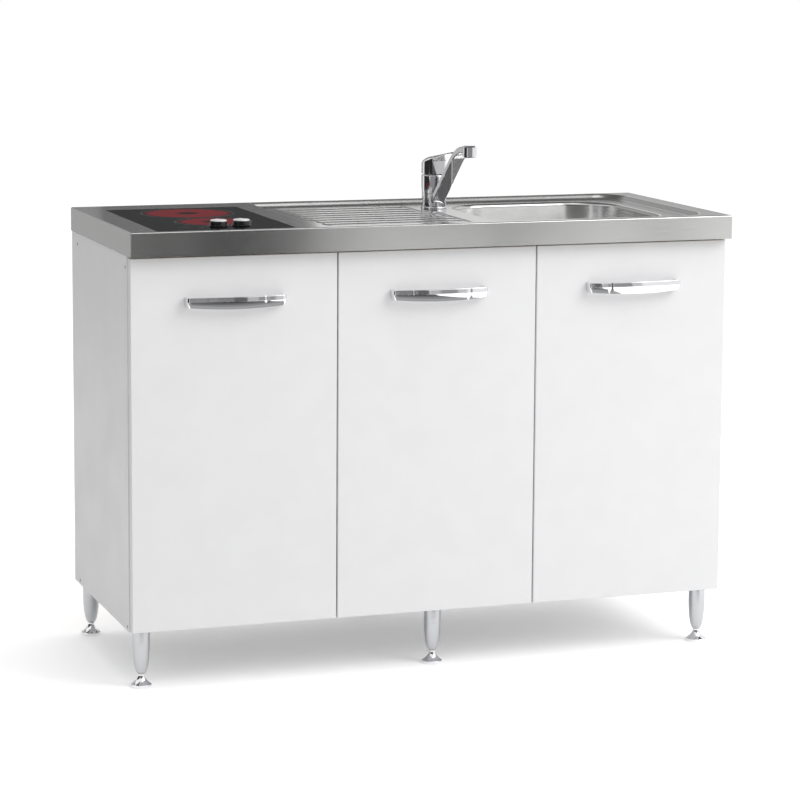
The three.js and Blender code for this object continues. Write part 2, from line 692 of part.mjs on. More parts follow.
function tapAerator() {
  const profile = [
    [0, 1], [AERATOR_RADIUS - 1.5, 1], [AERATOR_RADIUS - 1.5, 0], [AERATOR_RADIUS, 0],
    [AERATOR_RADIUS, 9], [0, 9],
  ];
  const sleeve = turned(profile, 0, -SPOUT_REACH, headBottom - 2, 24);
  return piece('tap_aerator', onTap(sleeve), satinMetal());
}

const cartridgeTop = TAP_BODY_TOP + 3;
const camBottom = TAP_BODY_TOP - 8;

function tapCartridge() {
  const bottom = TAP_COLLAR_TOP + FIT + 8;
  const barrel = disc(TAP_CARTRIDGE_RADIUS, bottom, cartridgeTop, 0, 0, 24);
  const socket = disc(TAP_CAM_RADIUS + FIT, camBottom - FIT, cartridgeTop + 1, 0, 0, 20);
  return piece('tap_cartridge', onTap(cut(barrel, socket)), whitePlastic());
}

// Cam: turns in the cartridge, and carries the lever's rocking axis on a lug at the back.
const leverBase = TAP_BODY_TOP + 4 * FIT;
const cavityRadius = TAP_RADIUS - LEVER_WALL;
const lugReach = cavityRadius - 2 * FIT;

function tapCam() {
  const spindle = disc(TAP_CAM_RADIUS, camBottom, cartridgeTop + 5, 0, 0, 20);
  const lug = box(-3, 3, 0, lugReach, cartridgeTop + FIT, cartridgeTop + 5);
  return piece('tap_cam', onTap(joined(spindle, lug)), satinMetal());
}

// Lever: a hub over the cartridge whose back and crown run on into a blade that rises forward.
// It is lofted from level sections across its length.
function tapLever() {
  const crown = new THREE.SplineCurve([
    [-TAP_RADIUS, 0.34], [-TAP_RADIUS * 0.76, 0.69], [-TAP_RADIUS * 0.16, 0.98],
    [TAP_RADIUS, 1.13], [LEVER_LENGTH * 0.6, 1.31],
    [LEVER_LENGTH, LEVER_RISE / LEVER_HUB_HEIGHT],
  ].map(([reach, share]) => new THREE.Vector2(reach, share * LEVER_HUB_HEIGHT)));
  const underside = new THREE.QuadraticBezierCurve(
    new THREE.Vector2(TAP_RADIUS, LEVER_HUB_HEIGHT * 0.76),
    new THREE.Vector2(LEVER_LENGTH * 0.55, LEVER_HUB_HEIGHT * 1.18),
    new THREE.Vector2(LEVER_LENGTH, LEVER_RISE - LEVER_TIP_THICKNESS),
  );
  const heightOn = (curve, reach) => {
    const points = curve.getPoints(40);
    const next = points.findIndex((point, i) => i > 0 && point.x >= reach - 1e-6);
    const [a, b] = [points[next - 1], points[next]];
    return a.y + ((b.y - a.y) * (reach - a.x)) / (b.x - a.x);
  };
  const section = (reach, bottom, half) => {
    const top = heightOn(crown, reach);
    const round = Math.min(half * 0.55, (top - bottom) * 0.7);
    const over = range(7).map((step) => {
      const angle = (step / 6) * Math.PI;
      return [half * Math.cos(angle), top - round + round * Math.sin(angle)];
    });
    return [[half, bottom], ...over, [-half, bottom]].map(([x, z]) => (
      new THREE.Vector3(x, -reach, leverBase + z)
    ));
  };
  const neck = Math.sqrt(TAP_RADIUS ** 2 - (LEVER_WIDTH / 2) ** 2);
  const hubHalf = (reach) => (
    reach > neck ? LEVER_WIDTH / 2 : Math.sqrt(TAP_RADIUS ** 2 - reach ** 2)
  );
  const turns = [0.04, 0.1, 0.18, 0.27, 0.38, 0.5, 0.62, 0.73];
  const hubStations = turns.map((share) => -TAP_RADIUS * Math.cos(share * Math.PI));
  const hub = [...hubStations, TAP_RADIUS].map((reach) => section(reach, 0, hubHalf(reach)));
  const blade = [0.01, 0.15, 0.35, 0.6, 0.82, 0.93, 0.98, 1].map((share) => {
    const reach = TAP_RADIUS + (LEVER_LENGTH - TAP_RADIUS) * share;
    const tip = Math.max(0, (share - 0.82) / 0.18);
    const half = (LEVER_WIDTH / 2) * Math.sqrt(1.001 - 0.75 * tip ** 3);
    return section(reach, heightOn(underside, reach), half);
  });
  const cavity = disc(
    cavityRadius, leverBase - 1, leverBase + LEVER_HUB_HEIGHT * 0.42, 0, 0, 20,
  );
  const lever = skin([...hub, ...blade]);
  return piece('tap_lever', onTap(cut(lever, cavity)), chrome());
}

// The nut that pulls the tap down on the deck, from below.
function tapNut() {
  const [top, thickness, across] = [-SHEET, 9, 27];
  const ring = disc(across, top - thickness, top - 1, 0, 0, 6);
  const washer = disc(across + 3, top - 2, top, 0, 0, 24);
  const bore = disc(TAP_SHANK_RADIUS + FIT, top - thickness - 1, top + 1, 0, 0, 24);
  return piece('tap_nut', onTap(cut(joined(ring, washer), bore)), finish(0xb08d4a, 0.4, 1));
}

// ---- waste ---------------------------------------------------------------------------------
const seatTop = bowlFloor - wasteSeatDepth;
const neckRadius = WASTE_RADIUS - 5 * FIT;
const basketSeat = seatTop - WASTE_NECK;

// Flange in the bowl, with a threaded neck and an inward ledge that the basket stands on.
function wasteFlange() {
  const wall = 2;
  const profile = [
    [neckRadius, basketSeat], [neckRadius, seatTop], [WASTE_FLANGE_RADIUS, seatTop],
    [WASTE_FLANGE_RADIUS - 2, seatTop + 1.5], [neckRadius - wall, seatTop + 0.8],
    [neckRadius - wall, basketSeat + wall], [neckRadius - 12, basketSeat + wall],
    [neckRadius - 12, basketSeat], [neckRadius, basketSeat],
  ];
  return piece('waste_flange', turned(profile, waste.x, waste.y, 0, 28), stainless());
}

// Strainer basket: a perforated cup with a knob to lift it by.
function wasteBasket() {
  const wall = 1.2;
  const outer = neckRadius - 2 - 2 * FIT;
  const floor = basketSeat + 2 + FIT;
  const rim = seatTop - 6;
  const cup = turned([
    [0, floor], [outer - 5, floor], [outer - 2, floor + 3], [outer, rim], [outer - wall, rim],
    [outer - 2 - wall, floor + 3 + wall], [outer - 5 - wall, floor + wall],
    [5, floor + wall], [5, rim - 8], [9, rim - 5], [9, rim - 1], [6, rim + 1], [0, rim + 1],
  ], waste.x, waste.y, 0, 20);
  const ringRadius = outer * 0.62;
  const holes = range(8).map((step) => {
    const angle = (step / 8) * 2 * Math.PI;
    return disc(
      3, floor - 1, floor + 3,
      waste.x + ringRadius * Math.cos(angle), waste.y + ringRadius * Math.sin(angle), 6,
    );
  });
  return piece('waste_basket', cut(cup, ...holes), stainless());
}

const wastePipeBottom = basketSeat - WASTE_PIPE_LENGTH;

// Plastic waste body, clamped under the bowl, narrowing to the pipe that enters the trap.
function wasteBody() {
  const top = seatTop - SHEET - FIT;
  const inner = neckRadius + FIT;
  const outer = inner + WASTE_WALL;
  const pipe = WASTE_PIPE_RADIUS;
  const coneTop = basketSeat - WASTE_COLLAR;
  const coneBottom = coneTop - WASTE_CONE;
  const profile = [
    [pipe, wastePipeBottom], [pipe, coneBottom], [outer, coneTop],
    [outer, top - WASTE_COLLAR], [WASTE_FLANGE_RADIUS, top - 2 * WASTE_WALL],
    [WASTE_FLANGE_RADIUS, top], [inner, top], [inner, coneTop + WASTE_WALL],
    [pipe - WASTE_WALL, coneBottom + WASTE_WALL], [pipe - WASTE_WALL, wastePipeBottom],
    [pipe, wastePipeBottom],
  ];
  return piece('waste_body', turned(profile, waste.x, waste.y, 0, 28), whitePlastic());
}

// Bottle trap: union nut round the pipe, bottle, screwed cup and the outlet towards the wall.
function trapBottle() {
  const top = wastePipeBottom + TRAP_NUT_HEIGHT / 2;
  const shoulder = top - TRAP_NUT_HEIGHT;
  const bottom = shoulder - TRAP_HEIGHT;
  const [nutRadius, cupRadius] = [WASTE_PIPE_RADIUS + TRAP_NUT_RIM, TRAP_RADIUS + WASTE_WALL];
  const bottle = turned([
    [0, bottom], [TRAP_RADIUS - 2 * WASTE_WALL, bottom], [cupRadius, bottom + 2 * WASTE_WALL],
    [cupRadius, bottom + TRAP_CUP_HEIGHT], [TRAP_RADIUS, bottom + TRAP_CUP_HEIGHT + WASTE_WALL],
    [TRAP_RADIUS, shoulder - TRAP_NUT_RIM], [nutRadius, shoulder], [nutRadius, top], [0, top],
  ], waste.x, waste.y, 0, 20);
  const inlet = disc(
    WASTE_PIPE_RADIUS + FIT, wastePipeBottom - 1, top + 1, waste.x, waste.y, 28,
  );
  const outletZ = shoulder - TRAP_OUTLET_DROP;
  const outletEnd = carcassBack - WASTE_WALL;
  const along = (radius, y0, y1) => solid(
    new THREE.CylinderGeometry(radius, radius, y1 - y0, 16)
      .translate(waste.x, (y0 + y1) / 2, outletZ),
  );
  const outlet = along(TRAP_OUTLET_RADIUS, waste.y, outletEnd);
  const nutStart = waste.y + TRAP_RADIUS + WASTE_WALL;
  const outletNut = along(
    TRAP_OUTLET_RADIUS + TRAP_NUT_RIM, nutStart, nutStart + TRAP_OUTLET_NUT,
  );
  const bore = along(
    TRAP_OUTLET_RADIUS - WASTE_WALL, nutStart + 2 * TRAP_OUTLET_NUT, outletEnd + 1,
  );
  return piece('trap_bottle', cut(joined(bottle, outlet, outletNut), inlet, bore), whitePlastic());
}

// ---- carcass -------------------------------------------------------------------------------
function sidePanel(name, side) {
  const [x0, x1] = side < 0 ? [-panelOuter, -panelInner] : [panelInner, panelOuter];
  const board = box(x0, x1, carcassFront, carcassBack, LEG_HEIGHT, panelTop);
  return piece(name, board, melamine());
}

const bottomPanel = () => piece('bottom_panel', box(
  -panelInner, panelInner, carcassFront, carcassBack - BACK_BOARD, LEG_HEIGHT, floorTop,
), melamine());

// The divider carries the middle door. It is notched round the front rail and stops short of
// the back rail.
function dividerPanel() {
  const [x0, x1] = [dividerCentre - BOARD / 2, dividerCentre + BOARD / 2];
  const board = box(
    x0, x1, carcassFront, carcassBack - BACK_BOARD - BOARD, floorTop, panelTop,
  );
  const notch = box(
    x0 - 1, x1 + 1, carcassFront - 1, carcassFront + BOARD, railBottom, panelTop + 1,
  );
  return piece('divider_panel', cut(board, notch), melamine());
}

const frontRail = () => piece('front_rail', box(
  -panelInner, panelInner, carcassFront, carcassFront + BOARD, railBottom, panelTop,
), melamine());

const backRail = () => piece('back_rail', box(
  -panelInner, panelInner, carcassBack - BACK_BOARD - BOARD, carcassBack - BACK_BOARD,
  railBottom, panelTop,
), melamine());

// Hardboard back with the service opening for water, waste and power behind the sink.
function backPanel() {
  const opening = {
    x0: waste.x - SERVICE_OPENING_WIDTH / 2,
    x1: waste.x + SERVICE_OPENING_WIDTH / 2,
    z1: railBottom - BOARD,
  };
  const board = box(
    -panelInner, panelInner, carcassBack - BACK_BOARD, carcassBack, LEG_HEIGHT, panelTop,
  );
  const hole = box(
    opening.x0, opening.x1, carcassBack - BACK_BOARD - 1, carcassBack + 1,
    opening.z1 - SERVICE_OPENING_HEIGHT, opening.z1,
  );
  return piece('back_panel', cut(board, hole), finish(0xe9e7e2, 0.6, 0));
}

// ---- doors, handles and hinges -------------------------------------------------------------
const doorNames = ['left', 'middle', 'right'];
// which edge each door hangs from: -1 its left edge, +1 its right edge
const hangSide = { left: -1, middle: -1, right: 1 };
// inner face of the board that each door's hinges are screwed to
const hangFace = { left: -panelInner, middle: dividerCentre + BOARD / 2, right: panelInner };

const cupX = (name) => {
  const x0 = doorLeft(doorNames.indexOf(name));
  return hangSide[name] < 0 ? x0 + CUP_EDGE_DISTANCE : x0 + doorWidth - CUP_EDGE_DISTANCE;
};

const alongY = (radius, y0, y1, x, z, segments) => solid(
  new THREE.CylinderGeometry(radius, radius, y1 - y0, segments).translate(x, (y0 + y1) / 2, z),
);

function door(name) {
  const x0 = doorLeft(doorNames.indexOf(name));
  const slab = { x0, x1: x0 + doorWidth, y0: doorBottom, y1: doorTop };
  // edge-banded board: the front arris is eased all round
  const rings = [
    [DOOR_EDGE, doorFront], [0, doorFront + DOOR_EDGE], [0, doorBack],
  ].map(([inset, y]) => [
    new THREE.Vector3(slab.x0 + inset, y, slab.y0 + inset),
    new THREE.Vector3(slab.x0 + inset, y, slab.y1 - inset),
    new THREE.Vector3(slab.x1 - inset, y, slab.y1 - inset),
    new THREE.Vector3(slab.x1 - inset, y, slab.y0 + inset),
  ]);
  const bores = Object.values(hingeHeights).map((z) => (
    alongY(CUP_RADIUS + FIT, doorBack - CUP_DEPTH - FIT, doorBack + 1, cupX(name), z, 14)
  ));
  return piece(`door_${name}`, cut(skin(rings), ...bores), melamine());
}

// Bow handle: a creased band that leaves the door at both ends and bows out between them.
function handle(name) {
  const index = doorNames.indexOf(name);
  const centre = doorLeft(index) + doorWidth / 2;
  const z = doorTop - HANDLE_DROP;
  const half = HANDLE_LENGTH / 2 - HANDLE_THICKNESS;
  const depth = HANDLE_PROJECTION - HANDLE_THICKNESS;
  const shoulder = depth - HANDLE_BOW;
  const round = HANDLE_END_ROUND;
  const path = new THREE.Path();
  path.moveTo(-half, 0);
  path.lineTo(-half, shoulder - round);
  path.quadraticCurveTo(-half, shoulder, -half + round, shoulder);
  path.quadraticCurveTo(0, depth + HANDLE_BOW, half - round, shoulder);
  path.quadraticCurveTo(half, shoulder, half, shoulder - round);
  path.lineTo(half, 0);
  const along = (part, steps, last) => range(steps + last).map((i) => [part, i / steps]);
  const stations = [[0, 0], ...along(1, 3, 0), ...along(2, 10, 0), ...along(3, 3, 1), [4, 1]];
  const rings = stations.map(([part, t]) => {
    const curve = path.curves[part];
    const point = curve.getPoint(t);
    const tangent = curve.getTangent(t);
    const outward = new THREE.Vector2(-tangent.y, tangent.x);
    const share = 1 - Math.min(Math.abs(point.x) / half, 1) ** 2;
    const high = HANDLE_END_HEIGHT / 2;
    const low = high + (HANDLE_MID_HEIGHT - HANDLE_END_HEIGHT) * share;
    const section = [
      [0, high - 1], [1, high], [HANDLE_THICKNESS - 1.5, high - 0.5],
      [HANDLE_THICKNESS, high * 0.1], [HANDLE_THICKNESS - 2.5, -low + 1],
      [HANDLE_THICKNESS - 3.5, -low], [0, -low + 1],
    ];
    return section.map(([out, up]) => new THREE.Vector3(
      centre + point.x + outward.x * out,
      doorFront - (point.y + outward.y * out),
      z + up,
    ));
  });
  const grooveAt = HANDLE_LENGTH / 2 - HANDLE_GROOVE_FROM_END;
  const grooves = [-1, 1].map((side) => {
    const across = new THREE.Shape();
    const tip = doorFront - HANDLE_PROJECTION + HANDLE_BOW / 4;
    across.moveTo(centre + side * grooveAt - HANDLE_GROOVE, tip - HANDLE_BOW);
    across.lineTo(centre + side * grooveAt + HANDLE_GROOVE, tip - HANDLE_BOW);
    across.lineTo(centre + side * grooveAt, tip + HANDLE_GROOVE);
    return prism(across, z - HANDLE_MID_HEIGHT, z + HANDLE_MID_HEIGHT);
  });
  return piece(`handle_${name}`, cut(skin(rings), ...grooves), chrome());
}

// Cup of a concealed hinge, in its bore in the door's back, with the flange that is screwed on.
function hingeCup(name, level) {
  const [x, z] = [cupX(name), hingeHeights[level]];
  const wall = 1;
  const flange = box(x - 9, x + 9, doorBack, doorBack + CUP_FLANGE, z - 31, z + 31);
  const cup = alongY(CUP_RADIUS, doorBack - CUP_DEPTH, doorBack + CUP_FLANGE, x, z, 14);
  const hollow = alongY(
    CUP_RADIUS - wall, doorBack - CUP_DEPTH + wall, doorBack + CUP_FLANGE + 1, x, z, 14,
  );
  return piece(`hinge_cup_${name}_${level}`, cut(joined(cup, flange), hollow), zinc());
}

// Arm of the hinge on its mounting plate, screwed to the carcass board.
function hingeArm(name, level) {
  const z = hingeHeights[level];
  const inward = -hangSide[name];
  const face = hangFace[name];
  const nose = doorBack + CUP_FLANGE + FIT;
  const tail = nose + HINGE_ARM_LENGTH;
  const shape = new THREE.Shape();
  shape.moveTo(face + inward * 3, tail);
  shape.lineTo(face + inward * HINGE_ARM_RISE * 0.6, tail);
  shape.lineTo(face + inward * HINGE_ARM_RISE, nose + 26);
  shape.lineTo(face + inward * HINGE_ARM_RISE, nose);
  shape.lineTo(face + inward * HINGE_ARM_RISE * 0.5, nose);
  shape.lineTo(face + inward * 1.5, nose + 22);
  shape.lineTo(face + inward * 1.5, tail - 8);
  const arm = prism(shape, z - HINGE_ARM_HEIGHT / 2, z + HINGE_ARM_HEIGHT / 2);
  const [p0, p1] = [face, face + inward * 2.5].sort((a, b) => a - b);
  const plate = box(p0, p1, nose + 24, nose + 46, z - 24, z + 24);
  return piece(`hinge_arm_${name}_${level}`, joined(plate, arm), zinc());
}

// ---- legs ----------------------------------------------------------------------------------
// Turned leg: barely tapered at the top, drawing in ever faster to the neck.
function leg(name, x, y) {
  const steps = 5;
  const side = range(steps + 1).map((step) => {
    const share = step / steps;
    return [
      NECK_RADIUS + (LEG_TOP_RADIUS - NECK_RADIUS) * (1 - (1 - share) ** 2.8),
      NECK_HEIGHT + (LEG_HEIGHT - NECK_HEIGHT) * share ** 1.5,
    ];
  });
  const body = turned([[0, NECK_HEIGHT], ...side, [0, LEG_HEIGHT]], x, y, 0, 16);
  const bore = disc(
    STEM_RADIUS + FIT, NECK_HEIGHT - 1, NECK_HEIGHT + STEM_LENGTH + FIT, x, y, 16,
  );
  return piece(name, cut(body, bore), satinMetal());
}

// Levelling foot: a disc that sweeps up to the neck, on a stem screwed up into the leg.
function foot(name, x, y) {
  const steps = 4;
  const top = NECK_HEIGHT - FIT;
  const sweep = range(steps + 1).map((step) => {
    const share = step / steps;
    return [
      NECK_RADIUS + (FOOT_RADIUS - 2 - NECK_RADIUS) * (1 - share) ** 2.2,
      FOOT_RIM + 1 + (top - FOOT_RIM - 1) * share,
    ];
  });
  const body = turned([
    [0, 0], [FOOT_RADIUS, 0], [FOOT_RADIUS, FOOT_RIM], ...sweep,
    [STEM_RADIUS, top], [STEM_RADIUS, NECK_HEIGHT + STEM_LENGTH], [0, NECK_HEIGHT + STEM_LENGTH],
  ], x, y, 0, 16);
  return piece(name, body, chrome());
}

// ---- the whole unit ------------------------------------------------------------------------
const unit = new THREE.Group();
unit.position.y = centreShift;

unit.add(
  sidePanel('side_panel_left', -1),
  sidePanel('side_panel_right', 1),
  bottomPanel(),
  dividerPanel(),
  frontRail(),
  backRail(),
  backPanel(),
  worktopSheet(),
  worktopFrame(),
  sinkBowl(),
  hobGlass(),
  hobTray(),
  heater('heater_rear', rearZone, REAR_ZONE_RADIUS),
  heater('heater_front', frontZone, FRONT_ZONE_RADIUS),
);

['left', 'right'].forEach((side, index) => {
  unit.add(regulator(`regulator_${side}`, knobs[index]));
  unit.add(hobKnob(`hob_knob_${side}`, knobs[index]));
});

unit.add(
  tapBase(), tapBody(), tapSpout(), tapAerator(), tapCartridge(), tapCam(), tapLever(), tapNut(),
  wasteFlange(), wasteBasket(), wasteBody(), trapBottle(),
);

doorNames.forEach((name) => {
  unit.add(door(name), handle(name));
  Object.keys(hingeHeights).forEach((level) => {
    unit.add(hingeCup(name, level), hingeArm(name, level));
  });
});

Object.entries(legRows).forEach(([row, y]) => {
  Object.entries(legColumns).forEach(([column, x]) => {
    unit.add(leg(`leg_${row}_${column}`, x, y), foot(`foot_${row}_${column}`, x, y));
  });
});

const part = new THREE.Group();
part.add(unit);
export default part;
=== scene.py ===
import math

import bpy
from mathutils import Matrix, Vector


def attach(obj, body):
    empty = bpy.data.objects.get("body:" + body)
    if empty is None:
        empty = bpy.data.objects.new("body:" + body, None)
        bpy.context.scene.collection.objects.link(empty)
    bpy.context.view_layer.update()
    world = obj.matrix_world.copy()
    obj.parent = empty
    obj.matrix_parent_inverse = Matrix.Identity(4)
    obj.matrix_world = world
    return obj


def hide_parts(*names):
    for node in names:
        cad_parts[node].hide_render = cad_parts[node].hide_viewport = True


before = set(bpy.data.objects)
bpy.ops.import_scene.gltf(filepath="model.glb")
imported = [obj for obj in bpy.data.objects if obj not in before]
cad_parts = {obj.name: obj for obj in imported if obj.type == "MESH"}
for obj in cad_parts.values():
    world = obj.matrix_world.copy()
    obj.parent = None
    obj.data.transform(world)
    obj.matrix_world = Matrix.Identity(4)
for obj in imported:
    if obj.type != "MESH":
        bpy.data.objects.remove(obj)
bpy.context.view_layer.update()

# ---- Studio ---------------------------------------------------------------------------------
# The unit stands on a pale floor that runs out to white, under broad soft light from the
# front right. Dark and grey boards stand outside the picture, for the steel and the chrome
# to mirror.

# The camera stands far off, to the front left. Its small shift sets the unit's height in the
# picture.
azimuth, elevation, roll = (math.radians(a) for a in (-19.176, 7.671, 0.368))
back = Vector((
    math.sin(azimuth) * math.cos(elevation),
    -math.cos(azimuth) * math.cos(elevation),
    math.sin(elevation),
))
right = (-back).cross(Vector((0, 0, 1))).normalized()
up = right.cross(-back)
middle, aside, raised, distance = Vector((0, 0.003, 0.425)), 0.00253, 0.2373, 5.5691
bpy.ops.object.camera_add()
camera = bpy.context.object
camera.data.lens = 126.57
camera.data.shift_y = -0.1125
camera.data.clip_end = 60
camera.matrix_world = Matrix((
    right * math.cos(roll) + up * math.sin(roll),
    up * math.cos(roll) - right * math.sin(roll),
    back,
)).transposed().to_4x4()
camera.location = middle + right * aside + up * raised + back * distance
bpy.context.scene.camera = camera
bpy.context.scene.view_settings.view_transform = "Standard"


def linear(hex_colour):
    """The colour of an sRGB hex value, as a material takes it."""
    channels = [int(hex_colour[i:i + 2], 16) / 255 for i in (0, 2, 4)]
    return [c / 12.92 if c <= 0.04045 else ((c + 0.055) / 1.055) ** 2.4 for c in channels] + [1]


def add(tree, kind, inputs=(), **settings):
    """A node with its settings; an input given as a socket is linked, any other is set."""
    made = tree.nodes.new(kind)
    for name, value in settings.items():
        setattr(made, name, value)
    for name, value in dict(inputs).items():
        if isinstance(value, bpy.types.NodeSocket):
            tree.links.new(value, made.inputs[name])
        else:
            made.inputs[name].default_value = value
    return made


def looked_at(tree):
    """One for what the camera sees straight, mirrored or through something clear."""
    path = add(tree, "ShaderNodeLightPath")
    mirrored = add(tree, "ShaderNodeMath", {0: path.outputs["Is Camera Ray"],
                                            1: path.outputs["Is Glossy Ray"]},
                   operation="MAXIMUM")
    return add(tree, "ShaderNodeMath", {0: mirrored.outputs[0],
                                        1: path.outputs["Is Transmission Ray"]},
               operation="MAXIMUM").outputs[0]


# The sky is white to look at, and lights the unit less than it looks.
world = bpy.data.worlds.new("white_studio")
bpy.context.scene.world = world
world.use_nodes = True
tree = world.node_tree
tree.nodes.clear()
looked = looked_at(tree)
fill = add(tree, "ShaderNodeBackground", {"Color": linear("ffffff"), "Strength": 0.66})
white = add(tree, "ShaderNodeBackground", {"Color": linear("ffffff"), "Strength": 1.0})
sky = add(tree, "ShaderNodeMixShader", {0: looked, 1: fill.outputs[0], 2: white.outputs[0]})
add(tree, "ShaderNodeOutputWorld", {"Surface": sky.outputs[0]})

lamp_aim = Vector((0, 0, 0.45))


def soft_lamp(name, place, size, watts):
    """A square soft box that faces the middle of the unit."""
    bpy.ops.object.light_add(type="AREA", location=place)
    lamp = bpy.context.object
    lamp.name = name
    lamp.data.size = size
    lamp.data.energy = watts
    towards = lamp_aim - Vector(place)
    lamp.rotation_euler = towards.to_track_quat("-Z", "Y").to_euler()


soft_lamp("key_right", (3.1, -2.7, 3.6), 3.0, 105)
soft_lamp("top", (0.2, 0.2, 4.0), 3.0, 46)

bpy.ops.mesh.primitive_plane_add(size=60, location=(0, 0, 0))
floor = bpy.context.object
floor.name = "floor"
# Matt white paint. To the camera it also has a lift that fades where the unit shades it, so that
# the shadow is soft and the rest runs out to white.
pale_floor = bpy.data.materials.new("matt_white_floor")
pale_floor.use_nodes = True
tree = pale_floor.node_tree
tree.nodes.clear()
looked = looked_at(tree)
paint = add(tree, "ShaderNodeBsdfDiffuse", {"Color": linear("e8e8e8")})
white_paint = add(tree, "ShaderNodeBsdfDiffuse", {"Color": linear("ffffff")})
open_sky = add(tree, "ShaderNodeAmbientOcclusion", {"Distance": 0.7}, samples=8)
lift_strength = add(tree, "ShaderNodeMapRange", {"Value": open_sky.outputs["AO"],
                                                 "To Min": 0.15, "To Max": 0.36})
lift = add(tree, "ShaderNodeEmission", {"Color": linear("ffffff"),
                                        "Strength": lift_strength.outputs[0]})
lit = add(tree, "ShaderNodeAddShader", {0: white_paint.outputs[0], 1: lift.outputs[0]})
ground = add(tree, "ShaderNodeMixShader", {0: looked, 1: paint.outputs[0], 2: lit.outputs[0]})
add(tree, "ShaderNodeOutputMaterial", {"Surface": ground.outputs[0]})
floor.data.materials.append(pale_floor)


def card(name, colour, low, high, shades=False):
    """A matt board outside the picture, between two corners, seen only in what mirrors it.
    One that shades keeps the sky's light off the unit too."""
    thickness = 0.001
    bpy.ops.object.select_all(action="DESELECT")
    bpy.ops.mesh.primitive_cube_add(size=1, location=(0, 0, 0))
    board = bpy.context.object
    board.name = name
    board.location = (Vector(low) + Vector(high)) / 2
    board.scale = Vector(high) - Vector(low) + Vector((thickness,) * 3)
    board.visible_camera = False
    board.visible_diffuse = shades
    board.visible_shadow = False
    paper = bpy.data.materials.new(name + "_paper")
    paper.use_nodes = True
    paper.cycles.emission_sampling = "NONE"
    tree = paper.node_tree
    tree.nodes.clear()
    flat = add(tree, "ShaderNodeEmission", {"Color": linear(colour), "Strength": 1.0})
    add(tree, "ShaderNodeOutputMaterial", {"Surface": flat.outputs[0]})
    board.data.materials.append(paper)


# In front, upright boards for the worktop's edge, and under them a striped row for the handles.
front_y, row_top, edge_foot, edge_top, high_top = -4.2, 0.305, 0.31, 1.3, 3.2
for number, (colour, start, end) in enumerate((
        ("929292", -6.0, 0.1), ("868686", 0.1, 0.57), ("686868", 0.57, 0.99),
        ("bcbcbc", 1.01, 1.35), ("989898", 1.35, 1.95), ("d0d0d0", 1.95, 2.3),
        ("fafafa", 2.3, 6.5))):
    card(f"front_board_{number}", colour, (start, front_y, edge_foot), (end, front_y, edge_top))
for part, colour, start, end in (("left", "484848", -6.0, 0.99), ("middle", "ffffff", 0.99, 2.6),
                                 ("right", "b8b8b8", 2.6, 6.5)):
    card(f"front_board_high_{part}", colour, (start, front_y, edge_top), (end, front_y, high_top))
for number, (colour, start, end) in enumerate((
        ("202020", -6.0, -0.72), ("101010", -0.66, -0.46), ("101010", -0.41, -0.22),
        ("303030", -0.19, 0.14), ("101010", 0.16, 0.36), ("101010", 0.41, 0.54),
        ("1e1e1e", 0.57, 0.98), ("2c2c2c", 1.0, 1.05), ("585858", 1.09, 1.14),
        ("6c6c6c", 1.64, 1.77), ("8c8c8c", 2.2, 2.44), ("8c8c8c", 3.08, 3.49))):
    card(f"low_board_{number}", colour, (start, front_y, 0.0), (end, front_y, row_top))

# On the floor toward the front, boards that darken away from the unit, for the fascia, and on the
# left one that keeps the side panel grey.
floor_left, floor_right, floor_height = -2.4, 0.7, 0.004
for number, (colour, far, near) in enumerate((
        ("2c2c2c", front_y, -3.0), ("4c4c4c", -3.0, -2.3), ("707070", -2.3, -1.75),
        ("909090", -1.75, -1.35), ("a8a8a8", -1.35, -0.62))):
    card(f"floor_board_{number}", colour, (floor_left, far, floor_height),
         (floor_right, near, floor_height))
card("left_board", "303030", (-2.8, -1.5, 0.0), (-2.8, 1.9, 1.7), shades=True)

# Behind and overhead, boards for the flat steel, the glass and the tap.
rear_y = 4.5
for part, colour, (start, end), (foot, head) in (
        ("side", "c4c4c4", (-4.0, -0.6), (0.0, 3.6)), ("left", "8c8c8c", (-0.6, 0.45), (0.5, 2.1)),
        ("middle", "484848", (0.45, 1.25), (0.5, 2.1)),
        ("high", "c0c0c0", (-0.6, 1.25), (2.1, 3.6)),
        ("top", "8c8c8c", (-4.0, 5.0), (3.6, 6.5)),
        ("right", "fcfcfc", (1.25, 2.3), (0.9, 3.6)), ("end", "c8c8c8", (2.3, 5.0), (0.9, 3.6))):
    card(f"rear_board_{part}", colour, (start, rear_y, foot), (end, rear_y, head))
card("ceiling_board", "686868", (-2.0, -0.6, 3.4), (3.2, 2.4, 3.4))

# ---- Legs -----------------------------------------------------------------------------------
# Six cast aluminium legs, polished satin and screwed up into the bottom panel. Each tapers down
# to a thin neck that stands on its levelling foot.


def surface(name, base, **settings):
    """A new material whose plain values are set on the shader's own sockets."""
    material = bpy.data.materials.new(name)
    material.use_nodes = True
    shader = material.node_tree.nodes["Principled BSDF"]
    shader.inputs["Base Color"].default_value = linear(base)
    for socket, value in settings.items():
        shader.inputs[socket.replace("_", " ")].default_value = value
    return material, material.node_tree, shader


def grain_at(tree, millimetres, stretch=(1, 1, 1), detail=2.0):
    """Noise in the piece's own coordinates, with features of that size in millimetres."""
    place = add(tree, "ShaderNodeTexCoord")
    scaled = add(tree, "ShaderNodeMapping", {"Vector": place.outputs["Object"],
                                             "Scale": [1 / s for s in stretch]})
    noise = add(tree, "ShaderNodeTexNoise", {"Vector": scaled.outputs[0],
                                             "Scale": 1000 / millimetres, "Detail": detail})
    return noise.outputs["Fac"]


def between(tree, source, low, high, start=0.35, end=0.65):
    """Carries a noise's middle range over to the range from low to high."""
    return add(tree, "ShaderNodeMapRange", {"Value": source, "From Min": start, "From Max": end,
                                            "To Min": low, "To Max": high}).outputs[0]


def dulled(tree, shader, source, low, high):
    """Lets the roughness wander between two values."""
    tree.links.new(between(tree, source, low, high), shader.inputs["Roughness"])


